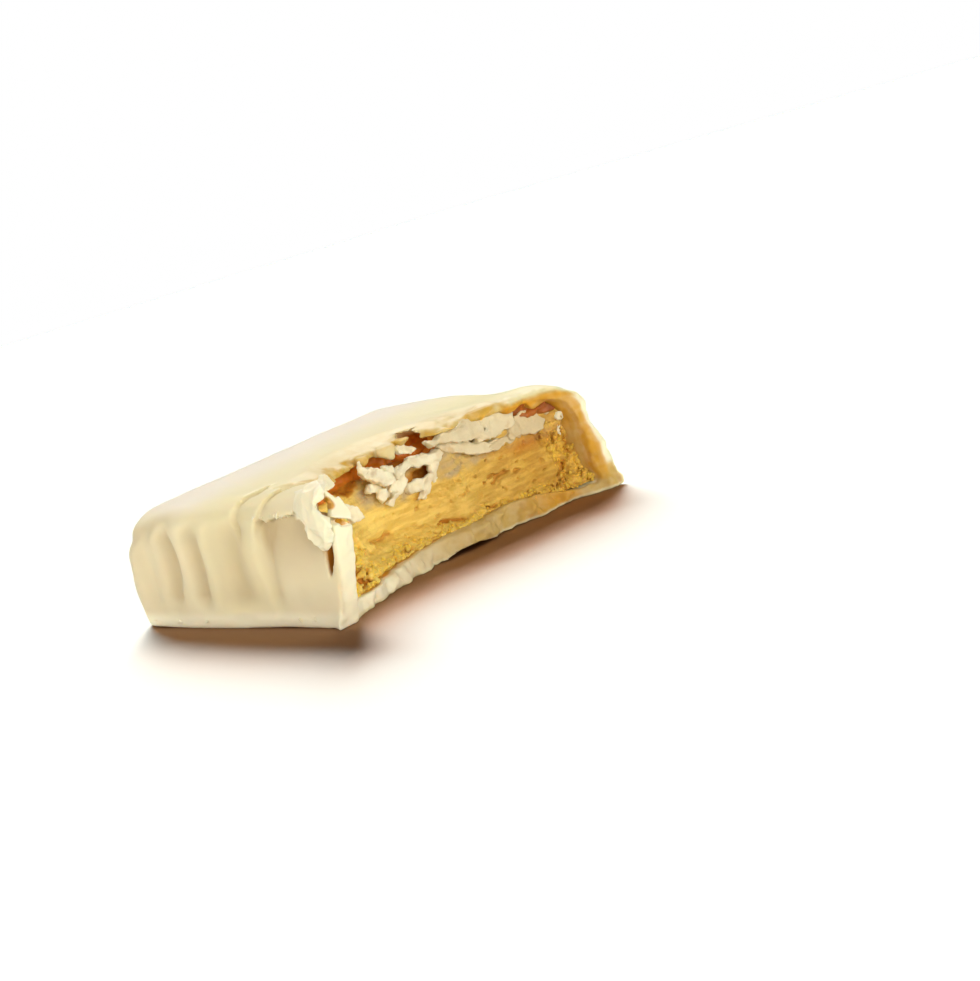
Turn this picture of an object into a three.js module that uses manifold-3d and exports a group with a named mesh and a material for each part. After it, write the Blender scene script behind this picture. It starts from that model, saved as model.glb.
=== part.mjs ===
// A bitten half of a coated protein bar: a thick white shell round a yellow protein dough,
// with a thin caramel layer under the shell's top, and shards of shell pressed into the bite.
// Millimetres, +Z up. The bar runs along X, the bite faces +X, and it rests on its flat base.
import * as THREE from "three";
import { mergeVertices } from "three/addons/utils/BufferGeometryUtils.js";
import Module from "manifold-3d";

const wasm = await Module();
wasm.setup();

// Driving dimensions of the bar. Lengths are measured from the bite's nearer corner, at x = 0.
// The bar is a little lower at its closed end. That end is a little slanted in plan, lower at the
// near wall than at the far one, and spreads towards its foot.
const BAR = { width: 42, height: 14.1, endHeight: 13.5, length: 35.3, overrun: 6 };
const END = { slant: 0.8, tilt: 0.45, spread: 1.3 };
const SHELL = { wall: 2.3, top: 1.6, base: 1.9 };
const CORNER_RADIUS = 3.4;
// How round the top edge is along the near wall, the closed end and the far wall.
const TOP_EDGE = { near: 2.6, end: 4.2, far: 4.2 };
const FOOT = { inset: 0.35, rise: 0.5 };
const CROWN = 0.4;
const CARAMEL_FLOOR = 10.6;
const FIT_GAP = 0.3;

// The soft vertical waves that the poured coating leaves in the walls, cut inwards.
const RIPPLE = { depth: 0.45, pitch: 5.1, lean: 0.16, from: 1.4, fadeIn: 3, reach: 12.8, fadeOut: 2 };

// The tooth marks of the bite, from the near wall to the far one: the middle of each arc
// across the bar, its radius, and how far it goes into the bar at the base and at the top.
const TEETH = [
  { across: -14.2, radius: 9.0, atBase: 1.6, atTop: 5.2 },
  { across: -5.0, radius: 10.4, atBase: 6.0, atTop: 9.0 },
  { across: 5.6, radius: 9.0, atBase: 2.8, atTop: 5.2 },
  { across: 12.6, radius: 8.0, atBase: 1.3, atTop: 3.4 },
];
// How far the far rim of the shell still reaches, beside the tooth marks.
const FAR_RIM = { atBase: 2.6, atTop: -0.4 };
// How softly two neighbouring tooth marks run into each other.
const BLEND = 1.1;
// The near wall stands in front of the tooth marks, and its broken edge leans forward. The top
// corner of that wall is snapped off and sits loose in its notch.
const NEAR_WALL = { across: -18.2, edge: 0.8, atBase: -0.4, atTop: 4.0 };
const CHIP = { from: 10.2, across: -16.0, depth: 5.0, edge: 1.2 };
const SNAPPED = { from: [-0.6, -21.5, 11.6], to: [2.6, -17.4, 15] };
// The dough is bitten back further than the shell, and most of all under the top.
const CORE_RECESS = { atBase: 0.9, atTop: 2.8 };

// The shards of shell in the bite. Outlines are [across, up] points on the dough's face, and
// lift is how far a shard stands off that face.
const SHARD_THICKNESS = 1.3;
const SHARDS = [
  {
    name: "shard_long",
    lift: 0,
    outline: [
      [0.9, 10.4], [1.4, 11.9], [5.2, 12.3], [9.2, 12.2],
      [13.2, 11.4], [13.6, 10.5], [9.8, 9.6], [3.4, 9.4],
    ],
  },
  {
    name: "shard_far",
    lift: 0.2,
    outline: [
      [14.4, 9.1], [14.6, 10.9], [16.6, 11.2], [17.6, 10.2],
      [17.4, 8.7], [14.6, 8.2], [10.4, 8.1], [10.6, 9.2],
    ],
  },
  {
    name: "shard_arch",
    lift: 0.4,
    outline: [
      [-5.2, 10.4], [-3.8, 11.6], [-0.4, 11.6], [0.5, 10.2],
      [0.9, 8.2], [-0.6, 7.4], [-1.4, 9.2], [-3.2, 8.0],
    ],
  },
  {
    name: "shard_near",
    lift: 0.2,
    outline: [
      [-11.4, 9.6], [-11.6, 11.2], [-9.0, 11.9], [-6.6, 11.4], [-6.2, 10.0], [-8.8, 9.4],
    ],
  },
];

// How finely the waved outside and the plain inside are divided: the step along a wall, and the
// number of steps round a corner, up a wall and over the top edge.
const OUTSIDE = { step: 1.02, corner: 5, levels: 4, rounding: 4 };
const INSIDE = { step: 3.2, corner: 3, levels: 2, rounding: 3 };
// The domed top closes in rings: how much of each one's width is left, and its share of the
// crown. At the closed end they also draw back, by up to CROWN_END of the bar's length.
const CROWN_RINGS = [
  { left: 0.66, rise: 0.55 },
  { left: 0.33, rise: 0.9 },
  { left: 0.08, rise: 1 },
];
const CROWN_END = 0.4;
const SMALLEST_CORNER = 0.8;
const CUT_STEP = { across: 1.0, up: 1.6 };
const CUT_SPAN = { across: 24, below: -2, above: 18, beyond: 12 };

const COLOURS = { shell: 0xefe3c0, broken: 0xf3ead0, dough: 0xdca94a, caramel: 0x8a3d12 };

const lerp = (a, b, t) => a + (b - a) * t;
const clamp = (t) => Math.min(1, Math.max(0, t));
const smooth = (t) => clamp(t) ** 2 * (3 - 2 * clamp(t));

// The lower of two values, with a soft turn where they meet.
function softMin(a, b) {
  const share = clamp(0.5 + (b - a) / (2 * BLEND));
  return lerp(b, a, share) - BLEND * share * (1 - share);
}

// Where the tooth marks lie at one point across the bar and above its base, as an x position.
function toothX(across, up) {
  const share = clamp(up / BAR.height);
  const farther = smooth((across + BAR.width / 2) / BAR.width);
  let reach = lerp(0, lerp(FAR_RIM.atBase, FAR_RIM.atTop, share), farther);
  for (const tooth of TEETH) {
    const offset = Math.min(Math.abs(across - tooth.across), tooth.radius);
    const sagitta = tooth.radius - Math.sqrt(tooth.radius ** 2 - offset ** 2);
    reach = softMin(reach, sagitta - lerp(tooth.atBase, tooth.atTop, share));
  }
  return reach;
}

// Where the shell ends: at the tooth marks, with the near wall standing in front of them as far
// up as the chip.
function shellX(across, up) {
  const wall = lerp(NEAR_WALL.atBase, NEAR_WALL.atTop, clamp(up / BAR.height));
  const standing = smooth((NEAR_WALL.across - across) / NEAR_WALL.edge);
  const chip = smooth((up - CHIP.from) / CHIP.edge) * smooth((CHIP.across - across) / CHIP.edge);
  return lerp(toothX(across, up), wall, standing) - CHIP.depth * chip;
}

function doughX(across, up) {
  return toothX(across, up) - lerp(CORE_RECESS.atBase, CORE_RECESS.atTop, clamp(up / BAR.height));
}

// A closed solid from rings of points, with its two ends filled by fans.
function loft(rings) {
  const count = rings[0].length;
  const positions = rings.flat(2);
  const index = [];
  for (let k = 0; k + 1 < rings.length; k += 1) {
    for (let i = 0; i < count; i += 1) {
      const j = (i + 1) % count;
      const [a, b, c, d] = [k * count + i, k * count + j, (k + 1) * count + j, (k + 1) * count + i];
      index.push(a, b, c, a, c, d);
    }
  }
  const fill = (k, reversed) => {
    const centre = positions.length / 3;
    for (const axis of [0, 1, 2]) {
      positions.push(rings[k].reduce((sum, point) => sum + point[axis], 0) / count);
    }
    for (let i = 0; i < count; i += 1) {
      const [a, b] = [k * count + i, k * count + ((i + 1) % count)];
      index.push(centre, ...(reversed ? [b, a] : [a, b]));
    }
  };
  fill(0, true);
  fill(rings.length - 1, false);
  const geometry = new THREE.BufferGeometry();
  geometry.setAttribute("position", new THREE.Float32BufferAttribute(positions, 3));
  geometry.setIndex(index);
  return geometry;
}

function solidOf(geometry) {
  const bare = geometry.clone();
  bare.deleteAttribute("normal");
  bare.deleteAttribute("uv");
  const merged = mergeVertices(bare, 1e-4);
  return new wasm.Manifold(
    new wasm.Mesh({
      numProp: 3,
      vertProperties: merged.attributes.position.array,
      triVerts: new Uint32Array(merged.index.array),
    }),
  );
}

function geometryOf(solid) {
  const mesh = solid.getMesh();
  const geometry = new THREE.BufferGeometry();
  geometry.setAttribute("position", new THREE.BufferAttribute(mesh.vertProperties, 3));
  geometry.setIndex(new THREE.BufferAttribute(mesh.triVerts, 1));
  return geometry;
}

// The depth of the waves at a distance along the wall and a height.
function ripple(along, up) {
  const fade = smooth((up - RIPPLE.from) / RIPPLE.fadeIn) * smooth((RIPPLE.reach - up) / RIPPLE.fadeOut);
  const phase = (2 * Math.PI * (along + RIPPLE.lean * up)) / RIPPLE.pitch;
  const uneven = 0.75 + 0.25 * Math.sin(phase * 0.37 + 1.1);
  return RIPPLE.depth * fade * uneven * (0.5 - 0.5 * Math.cos(phase));
}

// A point of the straight bar, moved to the real one: lower, slanted and spread at the closed end.
function settled([x, y, z]) {
  const share = clamp(-x / BAR.length);
  const side = y / (BAR.width / 2);
  const slant = END.slant * share * side;
  const spread = END.spread * share * (1 - z / BAR.height);
  const endHeight = BAR.endHeight + END.tilt * side;
  return [x + slant - spread, y, z * lerp(1, endHeight / BAR.height, share)];
}

// One ring of the bar, pulled in by the wall and by the rounded top edge, whose angle goes from
// 0 at the wall to a right angle on the top. upOf gives a point's height from the edge's radius
// there, and left is how much of the ring's size is left as the domed top closes.
function ring({ detail, wall, angle = 0, left = 1, upOf }) {
  const pulledIn = (radius) => wall + radius * (1 - Math.cos(angle));
  const near = pulledIn(TOP_EDGE.near) - BAR.width / 2;
  const far = BAR.width / 2 - pulledIn(TOP_EDGE.far);
  const end = pulledIn(TOP_EDGE.end) - BAR.length;
  const corner = Math.max(CORNER_RADIUS - pulledIn(TOP_EDGE.near), SMALLEST_CORNER);
  const middle = (near + far) / 2;
  const points = [];
  const put = (x, y, facing, along, radius) => {
    const up = upOf(radius);
    const depth = detail === OUTSIDE ? ripple(along, up) : 0;
    const px = x - Math.cos(facing) * depth;
    const py = y - Math.sin(facing) * depth;
    const closedEnd = px < 0 ? lerp(1 - CROWN_END, 1, left) : 1;
    points.push(settled([px * closedEnd, lerp(middle, py, left), up]));
  };
  const arc = (cx, cy, from, radiusFrom, radiusTo) => {
    for (let i = 1; i < detail.corner; i += 1) {
      const turn = i / detail.corner;
      const facing = from + (turn * Math.PI) / 2;
      const [x, y] = [cx + corner * Math.cos(facing), cy + corner * Math.sin(facing)];
      put(x, y, facing, x + y, lerp(radiusFrom, radiusTo, smooth(turn)));
    }
  };
  const wallSteps = Math.round(BAR.length / detail.step);
  const endSteps = Math.round(BAR.width / detail.step);
  for (let i = wallSteps; i >= 0; i -= 1) {
    const x = lerp(end + corner, BAR.overrun, i / wallSteps);
    put(x, far, Math.PI / 2, x + far, TOP_EDGE.far);
  }
  arc(end + corner, far - corner, Math.PI / 2, TOP_EDGE.far, TOP_EDGE.end);
  for (let i = endSteps; i >= 0; i -= 1) {
    const y = lerp(near + corner, far - corner, i / endSteps);
    put(end, y, Math.PI, end + y, TOP_EDGE.end);
  }
  arc(end + corner, near + corner, Math.PI, TOP_EDGE.end, TOP_EDGE.near);
  for (let i = 0; i <= wallSteps; i += 1) {
    const x = lerp(end + corner, BAR.overrun, i / wallSteps);
    put(x, near, -Math.PI / 2, x + near, TOP_EDGE.near);
  }
  return points;
}

// A bar-shaped solid, pulled in from the outer one by a wall, a base and a top thickness.
function barSolid({ detail = INSIDE, wall = 0, base = 0, top = 0 }) {
  const summit = BAR.height - top;
  const rings = [ring({ detail, wall: wall + FOOT.inset, upOf: () => base })];
  for (let k = 0; k <= detail.levels; k += 1) {
    const upOf = (radius) => lerp(base + FOOT.rise, summit - radius, k / detail.levels);
    rings.push(ring({ detail, wall, upOf }));
  }
  for (let k = 1; k <= detail.rounding; k += 1) {
    const angle = ((k / detail.rounding) * Math.PI) / 2;
    rings.push(ring({ detail, wall, angle, upOf: (radius) => summit - radius * (1 - Math.sin(angle)) }));
  }
  for (const { left, rise } of CROWN_RINGS) {
    rings.push(ring({ detail, wall, angle: Math.PI / 2, left, upOf: () => summit + rise * CROWN }));
  }
  return solidOf(loft(rings));
}

// The space inside the shell, less the gap that a filling keeps to it.
function inside() {
  const [wall, base, top] = [SHELL.wall, SHELL.base, SHELL.top].map((size) => size + FIT_GAP);
  return barSolid({ wall, base, top });
}

// The solid on one side of a bite surface: from x = from(across, up) to x = to(across, up).
function betweenSurfaces(from, to) {
  const { across: spread, below, above } = CUT_SPAN;
  const columns = Math.round((2 * spread) / CUT_STEP.across);
  const rows = Math.round((above - below) / CUT_STEP.up);
  const positions = [];
  for (const surface of [from, to]) {
    for (let r = 0; r <= rows; r += 1) {
      for (let c = 0; c <= columns; c += 1) {
        const across = lerp(-spread, spread, c / columns);
        const up = lerp(below, above, r / rows);
        positions.push(surface(across, up), across, up);
      }
    }
  }
  const layer = (columns + 1) * (rows + 1);
  const at = (side, r, c) => side * layer + r * (columns + 1) + c;
  const index = [];
  const quad = (a, b, c, d) => index.push(a, b, c, a, c, d);
  for (let r = 0; r < rows; r += 1) {
    for (let c = 0; c < columns; c += 1) {
      quad(at(0, r, c), at(0, r + 1, c), at(0, r + 1, c + 1), at(0, r, c + 1));
      quad(at(1, r, c), at(1, r, c + 1), at(1, r + 1, c + 1), at(1, r + 1, c));
    }
  }
  for (let c = 0; c < columns; c += 1) {
    quad(at(0, 0, c), at(0, 0, c + 1), at(1, 0, c + 1), at(1, 0, c));
    quad(at(0, rows, c), at(1, rows, c), at(1, rows, c + 1), at(0, rows, c + 1));
  }
  for (let r = 0; r < rows; r += 1) {
    quad(at(0, r, 0), at(1, r, 0), at(1, r + 1, 0), at(0, r + 1, 0));
    quad(at(0, r, columns), at(0, r + 1, columns), at(1, r + 1, columns), at(1, r, columns));
  }
  const geometry = new THREE.BufferGeometry();
  geometry.setAttribute("position", new THREE.Float32BufferAttribute(positions, 3));
  geometry.setIndex(index);
  return solidOf(geometry);
}

// Everything that the bite took away in front of a surface.
function bitten(surface) {
  return betweenSurfaces(surface, () => CUT_SPAN.beyond);
}

function block(from, to) {
  const size = new THREE.Vector3(...to).sub(new THREE.Vector3(...from));
  const geometry = new THREE.BoxGeometry(size.x, size.y, size.z);
  geometry.translate(...new THREE.Vector3(...from).addScaledVector(size, 0.5).toArray());
  return solidOf(geometry);
}

// The whole shell, before the bite.
function wholeShell() {
  return barSolid({ detail: OUTSIDE }).subtract(barSolid({ ...SHELL }));
}

// What fills the shell between two heights, back to the dough's face.
function filling(from, to) {
  const slab = block([-BAR.length, -BAR.width, from], [BAR.overrun, BAR.width, to]);
  return inside().intersect(slab).subtract(bitten(doughX));
}

// Turns an outline drawn in X and Y, and extruded along Z, to lie across and up, along the bar.
const ALONG_BAR = new THREE.Matrix4().makeBasis(
  new THREE.Vector3(0, 1, 0),
  new THREE.Vector3(0, 0, 1),
  new THREE.Vector3(1, 0, 0),
);

// One shard: its outline, carried along the bar and trimmed to the dough's face.
function shard({ outline, lift }) {
  const shape = new THREE.Shape(outline.map(([across, up]) => new THREE.Vector2(across, up)));
  const prism = new THREE.ExtrudeGeometry(shape, { depth: 3 * CUT_SPAN.beyond, bevelEnabled: false });
  prism.applyMatrix4(ALONG_BAR);
  prism.translate(-2 * CUT_SPAN.beyond, 0, 0);
  const behind = (across, up) => doughX(across, up) + FIT_GAP + lift;
  const inFront = (across, up) => behind(across, up) + SHARD_THICKNESS;
  return solidOf(prism).intersect(betweenSurfaces(behind, inFront)).intersect(inside());
}

function named(name, solid, color, roughness) {
  const material = new THREE.MeshStandardMaterial({ color, roughness, metalness: 0 });
  const mesh = new THREE.Mesh(geometryOf(solid), material);
  mesh.name = name;
  return mesh;
}

const shell = wholeShell();
const bar = new THREE.Group();
bar.add(named("coating", shell.subtract(bitten(shellX)), COLOURS.shell, 0.45));
bar.add(named("caramel", filling(CARAMEL_FLOOR + FIT_GAP, BAR.height), COLOURS.caramel, 0.25));
bar.add(named("core", filling(0, CARAMEL_FLOOR), COLOURS.dough, 0.7));
bar.add(named("shard_corner", shell.intersect(block(SNAPPED.from, SNAPPED.to)), COLOURS.broken, 0.5));
for (const piece of SHARDS) bar.add(named(piece.name, shard(piece), COLOURS.broken, 0.5));

// The origin is the middle of the base of the whole, so the group is set back along the bar.
const reach = new THREE.Box3().setFromObject(bar);
bar.position.x = -(reach.min.x + reach.max.x) / 2;

const part = new THREE.Group();
part.add(bar);
export default part;
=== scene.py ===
"""A bitten half of a coated protein bar: the poured white coating with its soft waves, the golden
dough, the caramel under the top, and the broken coating that the bite pressed into them.

The main pieces are made as distances in space and turned into closed meshes. Distances are in
millimetres, with x = 0 at the bite's near corner, +X out of the bite, +Y away from the near wall
and z = 0 on the base. Blender's metres are used only where a mesh, a light or a node is made."""

import math
from itertools import product

import bpy
import numpy as np
from mathutils import Matrix, Vector


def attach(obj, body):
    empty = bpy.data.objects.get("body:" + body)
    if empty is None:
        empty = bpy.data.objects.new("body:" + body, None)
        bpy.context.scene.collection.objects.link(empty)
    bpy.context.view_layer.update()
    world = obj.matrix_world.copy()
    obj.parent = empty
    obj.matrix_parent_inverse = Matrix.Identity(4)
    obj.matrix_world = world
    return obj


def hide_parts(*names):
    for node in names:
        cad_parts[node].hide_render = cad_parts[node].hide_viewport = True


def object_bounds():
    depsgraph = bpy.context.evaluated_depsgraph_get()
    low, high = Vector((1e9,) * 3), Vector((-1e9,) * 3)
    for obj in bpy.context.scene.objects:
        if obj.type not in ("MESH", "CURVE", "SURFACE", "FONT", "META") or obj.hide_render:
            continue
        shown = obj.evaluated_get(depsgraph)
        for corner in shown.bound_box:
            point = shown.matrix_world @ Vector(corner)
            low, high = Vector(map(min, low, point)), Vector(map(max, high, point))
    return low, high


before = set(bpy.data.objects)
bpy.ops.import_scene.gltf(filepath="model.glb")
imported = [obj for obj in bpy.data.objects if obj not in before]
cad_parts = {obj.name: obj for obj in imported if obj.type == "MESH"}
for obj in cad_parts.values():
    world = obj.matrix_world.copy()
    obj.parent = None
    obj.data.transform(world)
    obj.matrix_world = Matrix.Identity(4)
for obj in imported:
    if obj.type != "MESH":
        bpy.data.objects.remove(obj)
CAD_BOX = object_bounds()

bl_info = {
    "name": "Bitten protein bar",
    "version": (1, 0, 0),
    "blender": (4, 5, 0),
    "location": "View3D > Sidebar > Bar",
    "description": "Makes a bitten half of a coated protein bar and a plain stage for it",
    "category": "Add Mesh",
}

MM = 0.001

# ---- The form of the bar, in millimetres ----------------------------------------------------

# How far the near wall's broken edge reaches: the frame's forward end, in the bar's own x.
FORWARD_END = 2.7
END_SLANT = 0.8
END_TILT = 0.45
END_SPREAD = 1.1
# The closed end bulges: how high up, over what height, and by how much.
END_BULGE = (4.6, 3.4, 1.1)
CORNER_RADIUS = 3.4
TOP_EDGE = {"near": 2.6, "rest": 4.2, "end": 5.0}
FOOT_RADIUS = 0.5
CROWN = 0.4

# The tooth marks, from the near wall to the far one: middle across the bar, radius, and how far
# each goes into the bar at the base and at the top.
TEETH = (
    (-14.2, 9.0, 1.6, 5.2),
    (-5.0, 10.4, 6.0, 9.0),
    (5.6, 9.0, 2.8, 5.2),
    (12.6, 8.0, 1.3, 3.4),
)
FAR_RIM = (2.6, -0.4)
TEETH_BLEND = 0.9
NEAR_WALL = {"base": -18.5, "top": -17.3, "edge": 0.7, "at_base": 0.1, "at_top": 3.8}
CHIP = {"from": 10.2, "across": -16.0, "depth": 5.0, "edge": 1.2}

# The base reaches further out than the teeth left it, and its lower edge is broken away beside it.
SHELF = {"across": -4.6, "half": 7.0, "reach": 2.2}
UNDERCUT = {"across": 0.6, "half": 3.2, "height": 0.6, "behind": -7.5}

# The soft upright grooves in the near wall: place along the bar, depth and half width.
NEAR_GROOVES = (
    (-31.4, 0.35, 1.5),
    (-27.5, 0.85, 1.5),
    (-22.4, 0.75, 1.7),
    (-18.2, 0.20, 1.2),
    (-14.6, 0.60, 2.6),
    (-8.4, 0.35, 1.0),
)
GROOVE_LEAN = 0.1
# The groove depth in the panel belongs to a groove that is this deep in the lists.
FULL_GROOVE = 0.5
# Above this height the grooves bend towards the bite, by this much for a millimetre squared.
GROOVE_BEND = (9.2, 0.16)
GROOVE_PITCH = 4.7

# Two folds where the coating ran over the top edge, as (z, x), and how deep the wall steps in.
FOLDS = (
    ((10.2, -13.2), (11.7, -13.1), (12.8, -12.7), (13.5, -12.0), (14.2, -10.4)),
    ((10.2, -9.7), (11.7, -8.9), (13.0, -8.3), (13.9, -7.3), (14.7, -5.7)),
)
FOLD_DEPTH = 0.65
# The far edge of the top dips a little before the bite: place along the bar, half length and depth.
TOP_DIP = (-9.5, 6.5, 0.75)

# The crack along the near wall, as (x, z), and how deep the wall below it has sunk.
CRACK = (
    (-9.4, 11.4), (-8.6, 11.7), (-7.6, 11.35), (-6.1, 11.8), (-2.8, 11.9), (-1.5, 13.3),
    (0.7, 14.9),
)
CRACK_SINK = 0.6

# The pieces of broken coating. An outline holds (across, up) points; at is the place along the
# bar of the outline's middle, turn and lean are how much further forward the piece stands for
# each millimetre across and up, and thick is its thickness.
LONG_SHARDS = (
    dict(
        at=-4.9, turn=0.09, lean=-0.14, thick=1.1,
        outline=(
            (0.9, 12.3), (2.0, 12.3), (3.4, 12.5), (5.1, 12.7), (6.1, 13.0), (7.4, 13.1),
            (8.7, 13.0), (9.6, 12.8), (9.7, 12.0), (8.5, 11.1), (7.0, 10.5), (5.5, 10.9),
            (4.0, 11.2), (2.7, 11.5), (1.4, 11.6),
        ),
    ),
    dict(
        at=-4.4, turn=0.06, lean=-0.1, thick=1.0,
        outline=(
            (9.4, 12.6), (11.1, 12.2), (12.6, 12.0), (13.2, 11.7), (13.2, 10.6), (12.5, 10.1),
            (11.1, 10.1), (9.7, 9.9), (8.4, 10.1), (7.2, 10.2), (7.6, 10.9), (8.7, 11.4),
        ),
    ),
    dict(
        at=-5.4, turn=0.12, lean=-0.3, thick=1.0,
        outline=(
            (2.9, 11.5), (4.6, 11.1), (6.1, 10.7), (7.4, 10.3), (8.6, 9.8), (9.4, 9.0), (8.7, 8.6),
            (7.4, 8.9), (5.6, 9.4), (4.0, 10.1), (2.9, 10.6),
        ),
    ),
)
FAR_SHARDS = (
    dict(
        at=-3.8, turn=0.12, lean=-0.15, thick=1.1,
        outline=(
            (12.8, 10.4), (13.5, 11.1), (14.7, 11.4), (16.0, 11.2), (17.3, 11.0), (17.6, 10.4),
            (18.0, 9.7), (17.5, 8.9), (17.0, 8.3), (15.5, 8.5), (13.9, 8.9), (12.7, 8.8),
            (11.8, 8.8), (11.6, 9.4), (12.1, 9.9),
        ),
    ),
    dict(
        at=-4.4, turn=0.1, lean=-0.2, thick=0.9,
        outline=(
            (8.4, 9.3), (9.5, 9.7), (10.5, 9.6), (11.9, 9.5), (12.6, 8.7), (11.0, 8.6), (9.8, 8.4),
            (8.6, 8.6),
        ),
    ),
    dict(
        at=-3.0, turn=0.3, lean=0.2, thick=0.6,
        outline=(
            (17.5, 10.3), (18.4, 10.1), (18.6, 9.6), (18.3, 9.0), (17.5, 9.3),
        ),
    ),
)
ARCH_SHARDS = (
    dict(
        at=-6.4, turn=0.05, lean=-0.05, thick=1.3,
        outline=(
            (-2.4, 10.8), (-1.4, 11.3), (0.2, 11.3), (1.8, 11.1), (2.7, 11.0), (3.5, 10.1),
            (3.5, 9.3), (3.5, 8.4), (3.0, 7.9), (2.6, 8.8), (2.2, 9.5), (1.7, 9.9), (0.7, 9.9),
            (-0.5, 10.1), (-1.6, 10.3), (-2.6, 10.0), (-3.7, 9.8), (-3.9, 10.4),
        ),
    ),
    dict(
        at=-6.2, turn=0.2, lean=0.1, thick=0.9,
        outline=(
            (0.9, 10.0), (2.2, 9.9), (2.3, 8.4), (1.6, 7.4), (0.8, 7.7), (0.9, 8.6),
        ),
    ),
    dict(
        at=-6.1, turn=-0.2, lean=0.2, thick=0.8,
        outline=(
            (0.1, 8.8), (1.0, 8.7), (0.2, 7.2), (-0.7, 6.4), (-1.5, 6.7), (-0.6, 7.7),
        ),
    ),
    dict(
        at=-6.4, turn=0.3, lean=0.3, thick=0.8,
        outline=(
            (-2.5, 8.7), (-1.1, 8.8), (-0.1, 8.9), (-0.8, 7.8), (-2.1, 7.3), (-2.7, 7.9),
        ),
    ),
)
NEAR_SHARDS = (
    dict(
        at=-6.3, turn=0.1, lean=0.2, thick=0.5,
        outline=(
            (-8.4, 13.4), (-7.9, 13.5), (-7.7, 12.7), (-7.4, 11.8), (-7.0, 11.2), (-8.0, 11.6),
            (-8.4, 12.5),
        ),
    ),
    dict(
        at=-6.3, turn=0.2, lean=-0.3, thick=1.0,
        outline=(
            (-7.7, 12.1), (-6.5, 12.2), (-5.7, 11.7), (-4.8, 10.6), (-4.8, 9.9), (-5.9, 9.9),
            (-6.8, 10.6), (-7.7, 11.2),
        ),
    ),
    dict(
        at=-6.5, turn=-0.2, lean=0.1, thick=0.8,
        outline=(
            (-5.3, 11.9), (-4.5, 11.7), (-3.7, 11.0), (-4.1, 10.6), (-5.0, 10.9),
        ),
    ),
    dict(
        at=-6.9, turn=0.2, lean=0.1, thick=0.9,
        outline=(
            (-4.2, 10.5), (-3.0, 10.9), (-2.4, 10.2), (-2.3, 9.2), (-3.4, 8.3), (-4.3, 7.7),
            (-4.8, 8.2), (-4.4, 9.3),
        ),
    ),
    dict(
        at=-6.7, turn=0.3, lean=0.3, thick=0.6,
        outline=(
            (-6.3, 9.6), (-5.6, 9.6), (-5.4, 8.4), (-6.1, 8.0), (-6.5, 8.7),
        ),
    ),
    dict(
        at=-6.7, turn=0.2, lean=0.4, thick=0.6,
        outline=(
            (-4.7, 8.5), (-3.7, 8.6), (-4.8, 7.0), (-5.3, 7.6),
        ),
    ),
    dict(
        at=-7.0, turn=0.3, lean=0.1, thick=0.9,
        outline=(
            (-7.0, 10.4), (-6.0, 10.2), (-5.8, 9.4), (-6.8, 9.2), (-7.3, 9.7),
        ),
    ),
)
CORNER_FACET = dict(
    at=2.0, turn=0.05, lean=-0.3, thick=0.6,
    outline=(
        (-19.6, 13.9), (-19.2, 13.2), (-18.8, 12.5), (-18.4, 12.6), (-18.2, 11.8), (-18.0, 10.7),
        (-18.3, 10.2), (-18.9, 10.5), (-19.6, 10.8), (-20.3, 11.2), (-19.9, 11.8), (-19.5, 12.3),
        (-19.6, 13.0),
    ),
)
CORNER_PEAK = dict(
    at=-0.3, turn=0.2, lean=-0.4, thick=0.8,
    outline=(
        (-19.0, 13.2), (-18.2, 14.1), (-17.4, 14.75), (-17.1, 14.2), (-17.0, 13.3), (-17.8, 13.0),
    ),
)
# The flake of wall at the snapped corner, unrolled: along the bar, and up the wall and over the top.
CORNER_FLAKE = (
    (-1.6, 12.0), (-2.3, 12.6), (-2.3, 14.2), (-3.2, 15.5), (-4.6, 17.0), (-5.6, 18.2),
    (-4.6, 19.2), (-2.4, 18.4), (-0.4, 17.6), (0.8, 16.4), (2.0, 15.0), (2.0, 13.8), (1.5, 13.0),
    (1.6, 12.3), (2.7, 11.6), (2.9, 10.7), (2.4, 9.7), (1.5, 8.7), (0.5, 8.2), (-0.2, 8.9),
    (-0.7, 9.8), (-0.7, 10.6), (-1.0, 11.4),
)
# The hole in the snapped corner and the hollow under its facet: place (x, y, z) and radii.
CORNER_HOLE = ((2.0, -20.1, 12.4), (2.2, 0.65, 0.5))
CORNER_HOLLOW = ((2.5, -18.6, 10.4), (1.4, 1.1, 0.6))
LOOSE_FLAKES = (
    dict(
        at=-1.9, turn=0.2, lean=0.5, thick=0.7,
        outline=(
            (18.2, 9.9), (19.4, 10.1), (20.3, 10.1), (20.5, 9.5), (19.6, 9.2), (18.8, 8.9),
            (18.0, 9.4),
        ),
    ),
    dict(
        at=-6.9, turn=0.3, lean=-0.4, thick=0.6,
        outline=(
            (-1.8, 12.8), (-1.0, 12.9), (0.0, 12.4), (0.3, 11.8), (-0.4, 11.6), (-1.2, 12.0),
            (-1.8, 12.0),
        ),
    ),
    dict(
        at=-2.6, turn=0.2, lean=0.1, thick=0.5,
        outline=(
            (18.3, 8.7), (19.0, 8.6), (19.0, 7.5), (18.5, 6.8), (18.0, 7.6),
        ),
    ),
    dict(
        at=-5.2, turn=0.4, lean=0.1, thick=0.8,
        outline=(
            (-12.4, 9.9), (-11.2, 9.3), (-11.0, 8.1), (-12.0, 7.6), (-12.6, 8.6),
        ),
    ),
    dict(
        at=-5.9, turn=0.2, lean=0.2, thick=0.4,
        outline=(
            (4.3, 13.3), (5.2, 13.2), (5.9, 12.7), (5.3, 12.5), (4.4, 12.9),
        ),
    ),
)
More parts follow.
